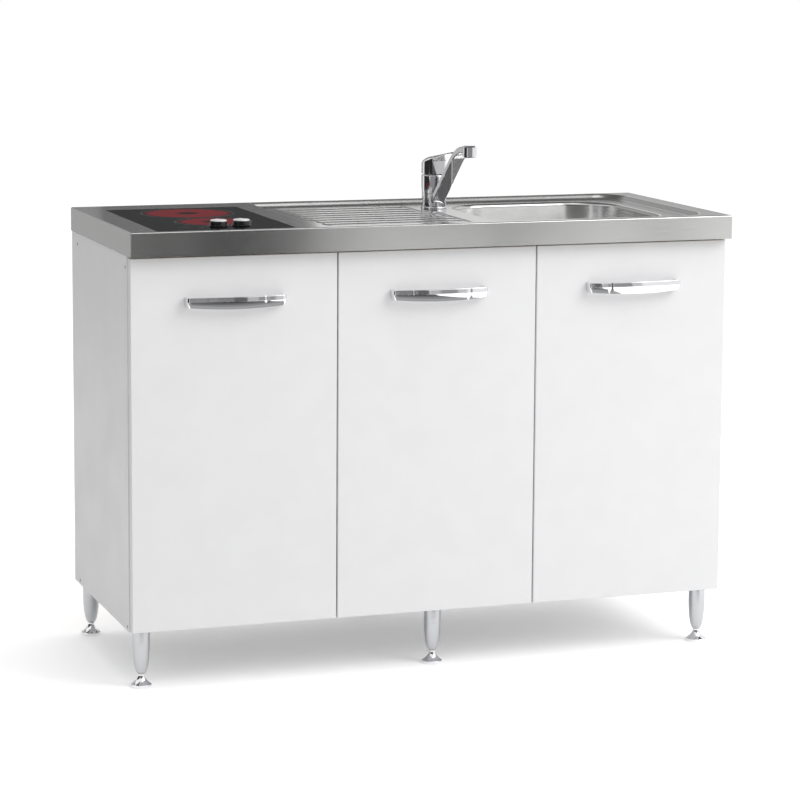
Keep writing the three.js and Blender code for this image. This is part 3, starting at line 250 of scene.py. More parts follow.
def embossed(tree, shader, height, strength, depth):
    """Feeds a height into the shader's normal; depth is in millimetres."""
    bump = add(tree, "ShaderNodeBump", {"Height": height, "Strength": strength,
                                        "Distance": depth / 1000})
    tree.links.new(bump.outputs[0], shader.inputs["Normal"])


def shaded(tree, shader, source, dark, light):
    """Mottles the base colour between two near tones."""
    tones = add(tree, "ShaderNodeMix", {0: source, 6: linear(dark), 7: linear(light)},
                data_type="RGBA")
    tree.links.new(tones.outputs[2], shader.inputs["Base Color"])


def spun(name, profile, x, y, steps=64):
    """A profile of radius and height, in millimetres, spun round the upright axis at x, y."""
    bpy.ops.object.select_all(action="DESELECT")
    bpy.ops.mesh.primitive_plane_add(size=0.001, location=(0, 0, 0))
    made = bpy.context.object
    made.name = name
    bpy.ops.object.mode_set(mode="EDIT")
    bpy.ops.mesh.select_mode(type="VERT")
    bpy.ops.mesh.select_all(action="SELECT")
    bpy.ops.mesh.merge(type="CENTER")
    points = [Vector((radius, 0, height)) / 1000 for radius, height in profile]
    bpy.ops.transform.translate(value=points[0])
    for start, end in zip(points, points[1:]):
        bpy.ops.mesh.extrude_region_move(TRANSFORM_OT_translate={"value": end - start})
    bpy.ops.mesh.select_all(action="SELECT")
    bpy.ops.mesh.spin(steps=steps, angle=2 * math.pi, center=(0, 0, 0), axis=(0, 0, 1))
    bpy.ops.mesh.select_all(action="SELECT")
    bpy.ops.transform.translate(value=(x / 1000, y / 1000, 0))
    bpy.ops.mesh.remove_doubles(threshold=1e-6)
    bpy.ops.mesh.normals_make_consistent(inside=False)
    bpy.ops.object.mode_set(mode="OBJECT")
    return made


def finished(made, material, body, node, arris=0.0, steps=2, angle=35):
    """Breaks the arrises, smooths the shading but keeps the flats flat, paints the piece and
    puts it on its body."""
    bpy.ops.object.select_all(action="DESELECT")
    made.select_set(True)
    bpy.context.view_layer.objects.active = made
    if arris:
        edge = made.modifiers.new("arris", "BEVEL")
        edge.width = arris / 1000
        edge.segments = steps
        edge.limit_method = "ANGLE"
        edge.angle_limit = math.radians(angle)
        bpy.ops.object.modifier_apply(modifier="arris")
    bpy.ops.object.shade_smooth_by_angle(angle=math.radians(angle))
    flats = made.modifiers.new("flats", "WEIGHTED_NORMAL")
    flats.keep_sharp = True
    bpy.ops.object.modifier_apply(modifier="flats")
    made.data.materials.clear()
    made.data.materials.append(material)
    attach(made, body)
    if node:
        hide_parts(node)
    return made


def another(made, name, x, y):
    """A copy with its own mesh, moved over in its mesh by x and y millimetres."""
    twin = bpy.data.objects.new(name, made.data.copy())
    bpy.context.collection.objects.link(twin)
    twin.data.transform(Matrix.Translation((x / 1000, y / 1000, 0)))
    return twin


# Cast aluminium, polished satin: fine marks run round it and blur what it mirrors.
satin, tree, shader = surface("satin_aluminium", "bdbec0", Metallic=1.0, Roughness=0.2)
dulled(tree, shader, grain_at(tree, 6, (1, 1, 0.2)), 0.16, 0.26)
embossed(tree, shader, grain_at(tree, 0.8, (1, 1, 0.1)), 0.05, 0.05)

leg_places = {(row, column): (x, y) for row, y in (("front", -183), ("back", 233))
              for column, x in (("left", -570), ("middle", 8), ("right", 570))}
leg_top, leg_foot, leg_steps = 110, 24, 16
neck_radius, leg_radius, bore_radius, bore_top = 6.3, 16.5, 4.3, 58.3
leg_side = [(neck_radius + (leg_radius - neck_radius) * (1 - (1 - i / leg_steps) ** 2.8),
             leg_foot + (leg_top - leg_foot) * (i / leg_steps) ** 1.5)
            for i in range(leg_steps)]
first_leg = spun("leg_first", [(bore_radius, bore_top), (bore_radius, leg_foot)] + leg_side
                 + [(leg_radius, leg_top - 1.2), (leg_radius, leg_top), (0, leg_top),
                    (0, bore_top), (bore_radius, bore_top)], 0, 0, 48)
for (row, column), (x, y) in leg_places.items():
    finished(another(first_leg, f"leg_{row}_{column}_casting", x, y), satin, "cabinet",
             f"leg_{row}_{column}", 0.4)
bpy.data.objects.remove(first_leg)

# ---- Levelling feet ---------------------------------------------------------------------------
# Turned steel discs, chromed, that sweep up to the neck of the leg. A threaded stem on each
# screws up into the leg, to take up an uneven floor. Its thread is drawn as plain ridges.

# Chrome plate, on the handles too: a near mirror, with a slight waver in what it shows.
chrome, tree, shader = surface("chrome_plate", "ececee", Metallic=1.0, Roughness=0.05)
dulled(tree, shader, grain_at(tree, 14), 0.03, 0.08)
embossed(tree, shader, grain_at(tree, 9, detail=1.0), 0.03, 0.2)

sweep_low, sweep_top, sweep_steps = 6, 23.7, 12
sweep = [(neck_radius + 11.7 * (1 - i / sweep_steps) ** 2.2,
          sweep_low + (sweep_top - sweep_low) * i / sweep_steps) for i in range(sweep_steps + 1)]
root_radius, crest_radius, stem_top = 3.5, 4, 58
thread = [(crest_radius if ridge % 2 else root_radius, sweep_top + ridge)
          for ridge in range(1, 34)]
first_foot = spun("foot_first", [(0, 0), (19.4, 0), (20, 0.6), (20, 4.4), (19.4, 5.2)] + sweep
                  + [(root_radius, sweep_top)] + thread + [(3, stem_top), (0, stem_top)],
                  0, 0, 48)
for (row, column), (x, y) in leg_places.items():
    finished(another(first_foot, f"foot_{row}_{column}_disc", x, y), chrome,
             f"foot_{row}_{column}", f"foot_{row}_{column}", 0.0)
bpy.data.objects.remove(first_foot)

# ---- Carcass ----------------------------------------------------------------------------------
# Sides, bottom, divider and rails are 18 mm chipboard faced with white melamine, pressed with a
# fine pebble, and banded along the edges with a strip whose arrises are scraped round.

# Melamine-faced board: an even white with a dull sheen. The pebble of its press plate is drawn
# at 1.6 mm, coarse enough to show.
melamine, tree, shader = surface("melamine_faced_board", "f4f4f5", Roughness=0.42)
embossed(tree, shader, grain_at(tree, 1.6), 0.06, 0.2)
dulled(tree, shader, grain_at(tree, 90), 0.38, 0.46)
shaded(tree, shader, between(tree, grain_at(tree, 60), 0, 1), "f3f3f4", "f5f5f6")


def copied(node, name):
    """The CAD solid as a mesh of its own, its corners joined and its flat faces made whole."""
    bpy.ops.object.select_all(action="DESELECT")
    made = bpy.data.objects.new(name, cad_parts[node].data.copy())
    bpy.context.collection.objects.link(made)
    made.select_set(True)
    bpy.context.view_layer.objects.active = made
    bpy.ops.object.mode_set(mode="EDIT")
    bpy.ops.mesh.select_all(action="SELECT")
    bpy.ops.mesh.remove_doubles(threshold=1e-6)
    bpy.ops.mesh.dissolve_limited(angle_limit=math.radians(0.4))
    bpy.ops.object.mode_set(mode="OBJECT")
    return made


for node in ("side_panel_left", "side_panel_right", "bottom_panel", "divider_panel",
             "front_rail", "back_rail"):
    finished(copied(node, node + "_board"), melamine, "cabinet", node, 0.5)

# ---- Screw caps ---------------------------------------------------------------------------------
# Long screws hold the sides to the bottom and the rails. Each head is hidden by a thin moulded cap
# that lies against the board.

# Light grey moulded plastic, dull, which shows as a small dot on the white side.
cap_plastic, tree, shader = surface("screw_cap_plastic", "b9b9ba", Roughness=0.5)
dulled(tree, shader, grain_at(tree, 3), 0.4, 0.6)

side_face, cap_radius, cap_thickness = 0.5985, 0.0032, 0.0004
screw_rows = ((-0.196, 0.7925), (-0.196, 0.119), (0.2, 0.119), (0.2, 0.7925))


def screw_cap(name, y, z, side):
    """A thin disc with a dimple, set against the outside of a side panel."""
    bpy.ops.object.select_all(action="DESELECT")
    bpy.ops.mesh.primitive_cylinder_add(vertices=32, radius=cap_radius, depth=cap_thickness,
                                        location=(0, 0, 0), rotation=(0, math.pi / 2, 0))
    made = bpy.context.object
    made.name = name
    bpy.ops.object.transform_apply(location=True, rotation=True, scale=True)
    bpy.ops.object.mode_set(mode="EDIT")
    bpy.ops.mesh.select_mode(type="FACE")
    bpy.ops.mesh.select_all(action="DESELECT")
    bpy.ops.object.mode_set(mode="OBJECT")
    for face in made.data.polygons:
        face.select = abs(face.normal.x) > 0.9
    bpy.ops.object.mode_set(mode="EDIT")
    bpy.ops.mesh.inset(thickness=0.0012)
    bpy.ops.mesh.inset(thickness=0.0003, depth=-0.0002)
    bpy.ops.mesh.select_all(action="SELECT")
    bpy.ops.transform.translate(value=(side * (side_face + cap_thickness / 2), y, z))
    bpy.ops.mesh.select_mode(type="VERT")
    bpy.ops.object.mode_set(mode="OBJECT")
    finished(made, cap_plastic, "cabinet", None)


for number, (y, z) in enumerate(screw_rows):
    screw_cap(f"screw_cap_left_{number}", y, z, -1)
    screw_cap(f"screw_cap_right_{number}", y, z, 1)

# ---- Back panel ---------------------------------------------------------------------------------
# A 4 mm hardboard sheet, white on the inside and bare brown fibre outside, nailed behind the
# carcass. A large opening gives reach to the taps and the drain in the wall.

# Bare hardboard: brown, matt and fibrous.
hardboard, tree, shader = surface("bare_hardboard", "9b7653", Roughness=0.85)
fibre = grain_at(tree, 2.2, detail=6.0)
shaded(tree, shader, between(tree, fibre, 0, 1), "86623f", "a98561")
embossed(tree, shader, fibre, 0.25, 0.3)

# Its lacquered face: off-white with a low sheen and a little orange peel.
white_face, tree, shader = surface("white_lacquered_hardboard", "ececeb", Roughness=0.5)
embossed(tree, shader, grain_at(tree, 1.2), 0.12, 0.2)
shaded(tree, shader, between(tree, grain_at(tree, 40), 0, 1), "e9e9e8", "efefee")

back_sheet = finished(copied("back_panel", "back_panel_sheet"), hardboard, "cabinet",
                      "back_panel", 0.3, 1)
back_sheet.data.materials.append(white_face)
for face in back_sheet.data.polygons:
    if face.normal.y < -0.5:
        face.material_index = 1

# ---- Hinges -------------------------------------------------------------------------------------
# Concealed hinges of nickelled steel: the cup is pressed into the door, and the cranked arm is
# clipped to a plate that is screwed to the side or the divider.

# Nickel-plated steel, tumbled: a soft grey shine.
nickelled, tree, shader = surface("nickelled_steel", "b4b5b6", Metallic=1.0, Roughness=0.28)
dulled(tree, shader, grain_at(tree, 5), 0.22, 0.34)
embossed(tree, shader, grain_at(tree, 0.7), 0.08, 0.05)

door_names = ("left", "middle", "right")
for door in door_names:
    for level in ("lower", "upper"):
        finished(copied(f"hinge_cup_{door}_{level}", f"hinge_cup_{door}_{level}_pressing"),
                 nickelled, f"door_{door}", f"hinge_cup_{door}_{level}", 0.25)
        finished(copied(f"hinge_arm_{door}_{level}", f"hinge_arm_{door}_{level}_pressing"),
                 nickelled, "cabinet", f"hinge_arm_{door}_{level}", 0.6, 3)

# ---- Doors --------------------------------------------------------------------------------------
# Flat doors of the same white board, banded on all four edges. Each is bored on the inside for
# its two hinge cups, and hangs from its side panel or the divider.

for door in door_names:
    finished(copied(f"door_{door}", f"door_{door}_board"), melamine, f"door_{door}",
             f"door_{door}", 0.4, 3, 40)

# ---- Handles ------------------------------------------------------------------------------------
# Die-cast bow handles, chromed. A crease runs along the front, above it the face is upright and
# below it the face turns under. A narrow notch parts each end from the bow.


def lofted(name, rings):
    """Rings of equal count, in metres, bridged one to the next and closed at both ends."""
    bpy.ops.object.select_all(action="DESELECT")
    count = len(rings[0])
    bpy.ops.mesh.primitive_circle_add(vertices=count, radius=0.001, location=(0, 0, 0))
    made = bpy.context.object
    made.name = name
    for vertex, point in zip(made.data.vertices, rings[0]):
        vertex.co = point
    bpy.ops.object.mode_set(mode="EDIT")
    bpy.ops.mesh.select_mode(type="VERT")
    bpy.ops.mesh.select_all(action="SELECT")
    bpy.ops.mesh.edge_face_add()
    for ring in rings[1:]:
        bpy.ops.mesh.extrude_region_move(TRANSFORM_OT_translate={"value": (0, 0, 0)})
        bpy.ops.object.mode_set(mode="OBJECT")
        moved = [v for v in made.data.vertices if v.select]
        for vertex, point in zip(moved, ring):
            vertex.co = point
        bpy.ops.object.mode_set(mode="EDIT")
    bpy.ops.mesh.select_all(action="SELECT")
    bpy.ops.mesh.normals_make_consistent(inside=False)
    bpy.ops.object.mode_set(mode="OBJECT")
    return made


def curve_point(a, b, c, t):
    """A point, and its heading, on the curve from a to c that is drawn towards b."""
    a, b, c = Vector(a), Vector(b), Vector(c)
    return a.lerp(b, t).lerp(b.lerp(c, t), t), ((b - a).lerp(c - b, t)).normalized()


door_pitch, door_face, door_back, handle_height = 398.667, -225, -207, 727
door_centres = list(zip(door_names, (-door_pitch, 0, door_pitch)))


def bow_handle(name):
    """Rings along the bow's path: out from the door, round the corner, across and back. Its
    section is a list of how far each point lies out from the bow's back, and how high."""
    half, thick, depth, bow, turn, post = 89.5, 7.0, 21.0, 6.0, 5.0, 5
    high, belly = 10.0, 4.0
    notch_place, notch_half, notch_depth = 53.5, 1.5, 1.2
    corner_steps, bow_steps = 8, 56
    shoulder = depth - bow
    path = [((-half, 0), (0, 1)), ((-half, post), (0, 1))]
    path += [curve_point((-half, shoulder - turn), (-half, shoulder), (-half + turn, shoulder),
                         i / corner_steps) for i in range(corner_steps + 1)]
    path += [curve_point((-half + turn, shoulder), (0, depth + bow), (half - turn, shoulder),
                         i / bow_steps) for i in range(1, bow_steps)]
    path += [curve_point((half - turn, shoulder), (half, shoulder), (half, shoulder - turn),
                         i / corner_steps) for i in range(corner_steps + 1)]
    path += [((half, post), (0, -1)), ((half, 0), (0, -1))]
    rings = []
    for (x, out), (along, rise) in path:
        side, ahead = -rise, along
        low = high + belly * (1 - min(abs(x) / half, 1) ** 2)
        notch = max(0.0, 1 - abs(abs(x) - notch_place) / notch_half) if out > shoulder - 1 else 0
        cut_in = notch_depth * notch
        section = ((0, high - 1), (1, high), (thick - 1.9 - cut_in, high - 0.2),
                   (thick - 1 - cut_in, high - 0.7), (thick - 0.6 - cut_in, high - 1.6),
                   (thick - cut_in, high * 0.1 + 0.5))
        section += tuple((thick - 0.1 - 0.7 * t - 1.9 * t ** 2 - cut_in,
                          high * 0.1 - 0.2 + (1 - low - high * 0.1) * t)
                         for t in (0, 0.2, 0.4, 0.6, 0.8, 1))
        section += ((thick - 3.6 - cut_in, -low + 0.1), (1, -low + 0.1), (0, -low + 1))
        rings.append([Vector((x + side * reach, door_face - (out + ahead * reach),
                              handle_height + height)) / 1000 for reach, height in section])
    return lofted(name, rings)


first_handle = bow_handle("handle_first")
for door, x in door_centres:
    finished(another(first_handle, f"handle_{door}_casting", x, 0), chrome, f"door_{door}",
             f"handle_{door}", 0.0, angle=20)
bpy.data.objects.remove(first_handle)

# ---- Handle screws ------------------------------------------------------------------------------
# Two pan-head screws from inside the door hold each handle. Only their plated heads show, each
# with a round recess for the driver.

screw_reach = 86
screw_head = ((0, 0), (4, 0), (4, 1), (3.4, 1.7), (2, 2.1), (1.1, 2.1), (1.1, 1.3), (0, 1.3))
first_screw = spun("handle_screw_first", [(radius, door_back + out)
                                          for radius, out in screw_head], 0, 0, 24)
first_screw.data.transform(Matrix.Rotation(-math.pi / 2, 4, "X"))
first_screw.data.transform(Matrix.Translation((0, 0, handle_height / 1000)))
for door, x in door_centres:
    for side, reach in (("left", -screw_reach), ("right", screw_reach)):
        finished(another(first_screw, f"handle_screw_{door}_{side}", x + reach, 0), nickelled,
                 f"door_{door}", None)
bpy.data.objects.remove(first_screw)

# ---- Worktop ------------------------------------------------------------------------------------
# One sheet of 18/10 steel, brushed lengthways. The fascia is folded down on all sides and
# turned in along the front's foot, the recess and the drainer's ridges are pressed, and battens
# of raw chipboard stiffen it beneath.

# Raw chipboard: matt, with chips of 3.5 by 7 mm in two tones.
raw_board, tree, shader = surface("raw_chipboard", "b3a28c", Roughness=0.85)
chips = grain_at(tree, 3.5, (2, 1, 1), detail=5.0)
shaded(tree, shader, between(tree, chips, 0, 1), "938470", "c4b7a4")
embossed(tree, shader, chips, 0.3, 0.4)
finished(copied("worktop_frame", "worktop_battens"), raw_board, "cabinet", "worktop_frame",
         0.5, 1)

# Brushed stainless: what it mirrors is drawn out across the strokes. They are drawn 0.5 mm wide,
# coarse enough to show.
brushed, tree, shader = surface("brushed_stainless", "c2c2c1", Metallic=1.0, Roughness=0.17,
                                Anisotropic=0.92, Anisotropic_Rotation=0.25)
lengthways = add(tree, "ShaderNodeCombineXYZ", {"X": 1.0, "Y": 0.0, "Z": 0.02})
tree.links.new(lengthways.outputs[0], shader.inputs["Tangent"])
strokes = grain_at(tree, 0.5, (120, 1, 1), detail=3.0)
dulled(tree, shader, strokes, 0.16, 0.185)
shaded(tree, shader, between(tree, strokes, 0, 1), "bfbfbe", "c6c6c5")


def outline(plan, corner, inset, height, steps=12):
    """One level of a rounded rectangle, drawn in from its plan by inset, in millimetres."""
    x0, x1, y0, y1 = plan
    radii = corner if isinstance(corner, tuple) else (corner,) * 4
    ring = []
    for quarter, (sx, sy) in enumerate(((1, 1), (-1, 1), (-1, -1), (1, -1))):
        radius = max(radii[quarter] - inset, 0.5)
        x = (x1 if sx > 0 else x0) - sx * (inset + radius)
        y = (y1 if sy > 0 else y0) - sy * (inset + radius)
        for i in range(steps + 1):
            angle = (quarter + i / steps) * math.pi / 2
            ring.append(Vector((x + radius * math.cos(angle), y + radius * math.sin(angle),
                                height)) / 1000)
    return ring


def press_tool(plan, corner, levels, steps=12):
    """A block lofted through levels of inset and height, to cut or add to the sheet."""
    return lofted("tool", [outline(plan, corner, inset, height, steps)
                           for inset, height in levels])


def shaped(made, operation, *tools):
    """Cuts the tools from a piece, or joins them to it, and throws the tools away."""
    for tool in tools:
        bpy.ops.object.select_all(action="DESELECT")
        made.select_set(True)
        bpy.context.view_layer.objects.active = made
        step = made.modifiers.new("step", "BOOLEAN")
        step.operation = operation
        step.solver = "EXACT"
        step.object = tool
        bpy.ops.object.modifier_apply(modifier="step")
        bpy.data.objects.remove(tool)
    return made


def bored(radius, low, high, x, y, sides=64):
    """A round block between two heights, to cut or add, in millimetres."""
    bpy.ops.object.select_all(action="DESELECT")
    bpy.ops.mesh.primitive_cylinder_add(vertices=sides, radius=radius / 1000,
                                        depth=(high - low) / 1000, location=(0, 0, 0))
    tool = bpy.context.object
    bpy.ops.object.mode_set(mode="EDIT")
    bpy.ops.mesh.select_all(action="SELECT")
    bpy.ops.transform.translate(value=(x / 1000, y / 1000, (low + high) / 2000))
    bpy.ops.object.mode_set(mode="OBJECT")
    return tool


# Plans give left, right, front and back. Each tool below is made twice: once for the outside of
# the sheet, and once drawn in by its thickness for the hollow beneath.
steel, top, deck, fascia_foot = 1.2, 860, 850, 814
top_plan, top_bend = (-600, 600, -247, 253), 3
recess_plan, recess_corner, recess_slope = (-240, 564, -227, 243), (65, 14, 14, 65), 12
bowl_plan, bowl_corner, lip_bend = (156, 508, -173, 189), 92, 8
seat_plan, seat_floor, seat_opening = (-549.3, -283.7, -237.3, 173.3), 856, (-537, -296, -225, 161)
drainer_left, drainer_right, land_right, land_front, sink = -193, 103, 78, 93, 2.5
drainer_plans = ((drainer_left, drainer_right, -187, land_front),
                 (drainer_left, land_right, -187, 213))
tap_x, tap_y, tap_hole = 115, 124, 17.5
turned_in_plan = (-601, 601, -248, -239)
ridge_half, ridge_pitch, first_ridge = 11, 40, -167


def top_block(offset, bottom):
    """The whole sheet's outside, with the bend from the top down into the fascia."""
    bend = [(offset + (top_bend - offset) * (1 - math.cos(math.radians(t))),
             top - top_bend + (top_bend - offset) * math.sin(math.radians(t)))
            for t in range(0, 91, 15)]
    return press_tool(top_plan, top_bend, [(offset, bottom)] + bend, 6)


def recess_tool(offset, drop):
    """The recess, whose wall runs down to the deck in an S."""
    wall_steps = 12
    wall = []
    for i in range(wall_steps + 1):
        run = 1 - i / wall_steps
        fall = (top - deck) / 2 * (1 - math.cos(math.pi * run))
        wall.append((recess_slope * run - offset, top - drop - fall))
    return press_tool(recess_plan, recess_corner, wall + [(-offset, top + 1)], 16)


def drainer_tools(offset, drop):
    """The drainer's sunk panel, in two plans that leave a land for the tap."""
    return [press_tool(plan, 8, [(sink - offset, deck - drop - sink),
                                 (1.9 - offset, deck - drop - 2.2),
                                 (0.6 - offset, deck - drop - 0.3), (-offset, deck - drop),
                                 (-offset, deck + 1)], 6) for plan in drainer_plans]


def lip_tool(offset, bottom):
    """The opening over the bowl, with the lip that rolls down into it."""
    lip = [(-offset - lip_bend * (1 - math.cos(math.radians(t))),
            deck - lip_bend + (lip_bend - offset) * math.sin(math.radians(t)))
           for t in range(0, 91, 10)]
    return press_tool(bowl_plan, bowl_corner, [(-offset, bottom)] + lip
                      + [(-offset - lip_bend, deck + 1)], 24)


def ridge_tool(y, thin, foot):
    """One low round ridge along the drainer, which runs out at both ends."""
    start, floor = drainer_left + sink, deck - sink
    end = (drainer_right if y + ridge_half < land_front else land_right) - sink
    rings = []
    for x, swell in ((start + thin, 0.2), (start + 3, 0.55), (start + 6, 0.85), (start + 10, 1),
                     (end - 10, 1), (end - 6, 0.85), (end - 3, 0.55), (end - thin, 0.2)):
        half = (ridge_half - thin) * math.sqrt(swell)
        ring = [(x, y + half * math.cos(math.radians(t)),
                 floor - thin + sink * swell * math.sin(math.radians(t)))
                for t in range(0, 181, 15)]
        ring += [(x, y - half, foot), (x, y + half, foot)]
        rings.append([Vector(point) / 1000 for point in ring])
    return lofted("tool", rings)


clear = top + 1
below = fascia_foot - 1
sheet = top_block(0, fascia_foot)
sheet.name = "worktop_pressing"
shaped(sheet, "DIFFERENCE", recess_tool(0, 0), *drainer_tools(0, 0), lip_tool(0, deck - lip_bend),
       press_tool(seat_plan, 4, [(0, seat_floor), (0, clear)], 6),
       bored(tap_hole, below - 1, clear, tap_x, tap_y))
inside = top_block(steel, below)
shaped(inside, "DIFFERENCE", recess_tool(steel, steel), *drainer_tools(steel, steel),
       lip_tool(steel, deck - lip_bend),
       press_tool(seat_plan, 4, [(-steel, seat_floor - steel), (-steel, clear)], 6),
       press_tool(turned_in_plan, 1, [(0, below - 1), (0, fascia_foot + steel)], 1))
shaped(sheet, "DIFFERENCE", inside, lip_tool(0, below),
       press_tool(seat_opening, 2, [(0, below), (0, clear)], 2))
ridge_rows = [first_ridge + ridge_pitch * row for row in range(10)]
shaped(sheet, "UNION", *[ridge_tool(y, 0, deck - sink - steel) for y in ridge_rows])
shaped(sheet, "DIFFERENCE", *[ridge_tool(y, steel, deck - sink - 3 * steel)
                              for y in ridge_rows])
finished(sheet, brushed, "cabinet", "worktop_sheet", 0.0, angle=32)

# ---- Bowl ---------------------------------------------------------------------------------------
# Deep-drawn in the same steel and welded in under the lip, with a satin finish from tumbling.
# A round seat for the waste is pressed into its floor.

# Drawn and tumbled stainless: a soft, even satin sheen.
drawn, tree, shader = surface("satin_drawn_stainless", "e2e2e1", Metallic=1.0, Roughness=0.28)
satin_grain = grain_at(tree, 0.9, detail=3.0)
dulled(tree, shader, satin_grain, 0.22, 0.27)
shaded(tree, shader, between(tree, grain_at(tree, 25), 0, 1), "dfdfde", "e5e5e4")


bowl_floor, floor_bend, wall_slope = deck - 150, 42, 12
bowl_top = deck - lip_bend
waste_x, waste_y, waste_seat, waste_hole, seat_depth = 332, 8, 57.6, 45, 2.5


def drawn_levels(offset):
    """The bowl's bend from its floor to its walls, which slope out to just under the lip."""
    bend = [(wall_slope + floor_bend * (1 - math.sin(math.radians(t))) - offset,
             bowl_floor + floor_bend * (1 - math.cos(math.radians(t)))
             - offset * math.cos(math.radians(t))) for t in range(0, 91, 9)]
    return bend + [(-offset, bowl_top)]


bowl_shell = press_tool(bowl_plan, bowl_corner, drawn_levels(steel), 24)
bowl_shell.name = "sink_bowl_drawing"
shaped(bowl_shell, "UNION", bored(waste_seat + steel, bowl_floor - seat_depth - steel,
                                  bowl_floor - steel / 2, waste_x, waste_y, 96))
shaped(bowl_shell, "DIFFERENCE",
       press_tool(bowl_plan, bowl_corner, drawn_levels(0) + [(0, deck)], 24),
       bored(waste_seat, bowl_floor - seat_depth, bowl_floor + 1, waste_x, waste_y, 96),
       bored(waste_hole, bowl_floor - 10, bowl_floor + 1, waste_x, waste_y, 96))
finished(bowl_shell, drawn, "cabinet", "sink_bowl", 0.0, angle=32)

# ---- Waste and trap -----------------------------------------------------------------------------
# A steel flange in the bowl's floor, with a lift-out strainer basket, clamped to a plastic waste
# body. The pipe below it runs into a bottle trap with an outlet to the wall.

# Moulded white plastic: a soft sheen, a little uneven from sink marks.
white_plastic, tree, shader = surface("moulded_white_plastic", "e6e6e4", Roughness=0.38)
sink_marks = grain_at(tree, 20)
dulled(tree, shader, sink_marks, 0.32, 0.45)
shaded(tree, shader, between(tree, sink_marks, 0, 1), "e2e2e0", "eaeae8")
embossed(tree, shader, grain_at(tree, 1.0), 0.05, 0.1)

# Polished stainless: bright, with a faint waver from buffing.
polished, tree, shader = surface("polished_stainless", "cfcfce", Metallic=1.0, Roughness=0.14)
buffed = grain_at(tree, 4)
dulled(tree, shader, buffed, 0.1, 0.2)
embossed(tree, shader, buffed, 0.03, 0.1)

finished(copied("waste_flange", "waste_flange_pressing"), polished, "cabinet", "waste_flange",
         0.3)
finished(copied("waste_basket", "waste_basket_pressing"), polished, "basket", "waste_basket",
         0.2)
finished(copied("waste_body", "waste_body_moulding"), white_plastic, "cabinet", "waste_body",
         0.5)
finished(copied("trap_bottle", "trap_bottle_moulding"), white_plastic, "cabinet", "trap_bottle",
         0.8)

# ---- Hob ----------------------------------------------------------------------------------------
# A plate of dark glass-ceramic, ground along its edge, lies in a seat of the worktop. Its two
# zones glow red over radiant heaters, each with a printed ring round it. White dots mark the
# knobs' zero, and small rings are printed beside the knobs.

zones = {"rear": (-410, 73, 90), "front": (-403.5, -93, 72.5)}
knob_places, knob_y = {"left": -419, "right": -375}, -185
symbol_places = ((-480, -178), (-448, -187))


def reckoned(tree, kind, first, second):
    """The result of one sum on two values."""
    return add(tree, "ShaderNodeMath", {0: first, 1: second}, operation=kind).outputs[0]


def spot_on_plan(tree):
    """A point's place from left to right and front to back, whatever its height."""
    place = add(tree, "ShaderNodeTexCoord")
    parts = add(tree, "ShaderNodeSeparateXYZ", {0: place.outputs["Object"]})
    return add(tree, "ShaderNodeCombineXYZ", {"X": parts.outputs["X"],
                                              "Y": parts.outputs["Y"]}).outputs[0]


def distance_from(tree, spot, x, y):
    """How far a point on the plan lies from x, y, in millimetres."""
    apart = add(tree, "ShaderNodeVectorMath", {0: spot, 1: (x / 1000, y / 1000, 0)},
                operation="DISTANCE")
    return reckoned(tree, "MULTIPLY", apart.outputs["Value"], 1000)


def within(tree, source, inner, outer, soft=0.3):
    """One between two radii and nothing outside them, with soft edges."""
    rise = add(tree, "ShaderNodeMapRange", {"Value": source, "From Min": inner - soft,
                                            "From Max": inner + soft}).outputs[0]
    fall = add(tree, "ShaderNodeMapRange", {"Value": source, "From Min": outer - soft,
                                            "From Max": outer + soft, "To Min": 1.0,
                                            "To Max": 0.0}).outputs[0]
    return reckoned(tree, "MULTIPLY", rise, fall)


def painted(tree, under, mask, colour):
    """Lays a colour over another where the mask is one."""
    made = add(tree, "ShaderNodeMix", {0: mask, 6: under, 7: linear(colour)}, data_type="RGBA")
    return made.outputs[2]


# Glass-ceramic: near black with grey specks and a sharp shine. The lit zones show through as a
# dark red. The specks are drawn at 0.6 mm, coarse enough to show.
ceramic, tree, shader = surface("glass_ceramic", "232426", Roughness=0.09,
                                Specular_IOR_Level=0.3)
spot = spot_on_plan(tree)
specks = grain_at(tree, 0.6, detail=4.0)
colour = add(tree, "ShaderNodeMix", {0: between(tree, specks, 0, 1),
                                     6: linear("1f2022"), 7: linear("28292b")},
             data_type="RGBA").outputs[2]
warm_edge, hot_edge, dark_middle, print_width, line_width, dot = 2.5, 10, 20, 1.2, 0.5, 1.6
everywhere = -2
glowing = None
for x, y, radius in zones.values():
    away = distance_from(tree, spot, x, y)
    warm = within(tree, away, everywhere, radius - warm_edge, 1.0)
    hot = within(tree, away, dark_middle, radius - hot_edge, 6.0)
    colour = painted(tree, colour, warm, "16060a")
    colour = painted(tree, colour, hot, "7c1a23")
    colour = painted(tree, colour, within(tree, away, radius - print_width, radius), "9a9c9e")
    glowing = hot if glowing is None else reckoned(tree, "ADD", glowing, hot)
for x in knob_places.values():
    tick = distance_from(tree, spot, x - 14, knob_y + 17)
    colour = painted(tree, colour, within(tree, tick, everywhere, dot), "e8e8e8")
for x, y in symbol_places:
    for ring in (4.0, 7.5):
        away = distance_from(tree, spot, x, y)
        colour = painted(tree, colour, within(tree, away, ring - line_width, ring), "8d8f91")
tree.links.new(colour, shader.inputs["Base Color"])
glow = add(tree, "ShaderNodeMix", {0: glowing, 6: linear("000000"), 7: linear("c02434")},
           data_type="RGBA")
tree.links.new(glow.outputs[2], shader.inputs["Emission Color"])
shader.inputs["Emission Strength"].default_value = 0.06
dulled(tree, shader, grain_at(tree, 35), 0.07, 0.12)
finished(copied("hob_glass", "hob_glass_plate"), ceramic, "cabinet", "hob_glass",
         0.3, 2, 30)

# ---- Under the glass ----------------------------------------------------------------------------
# A pressed case of plated steel hangs under the glass. It holds two pans of insulation with a
# coiled ribbon in each, and two moulded regulators, one under each knob.

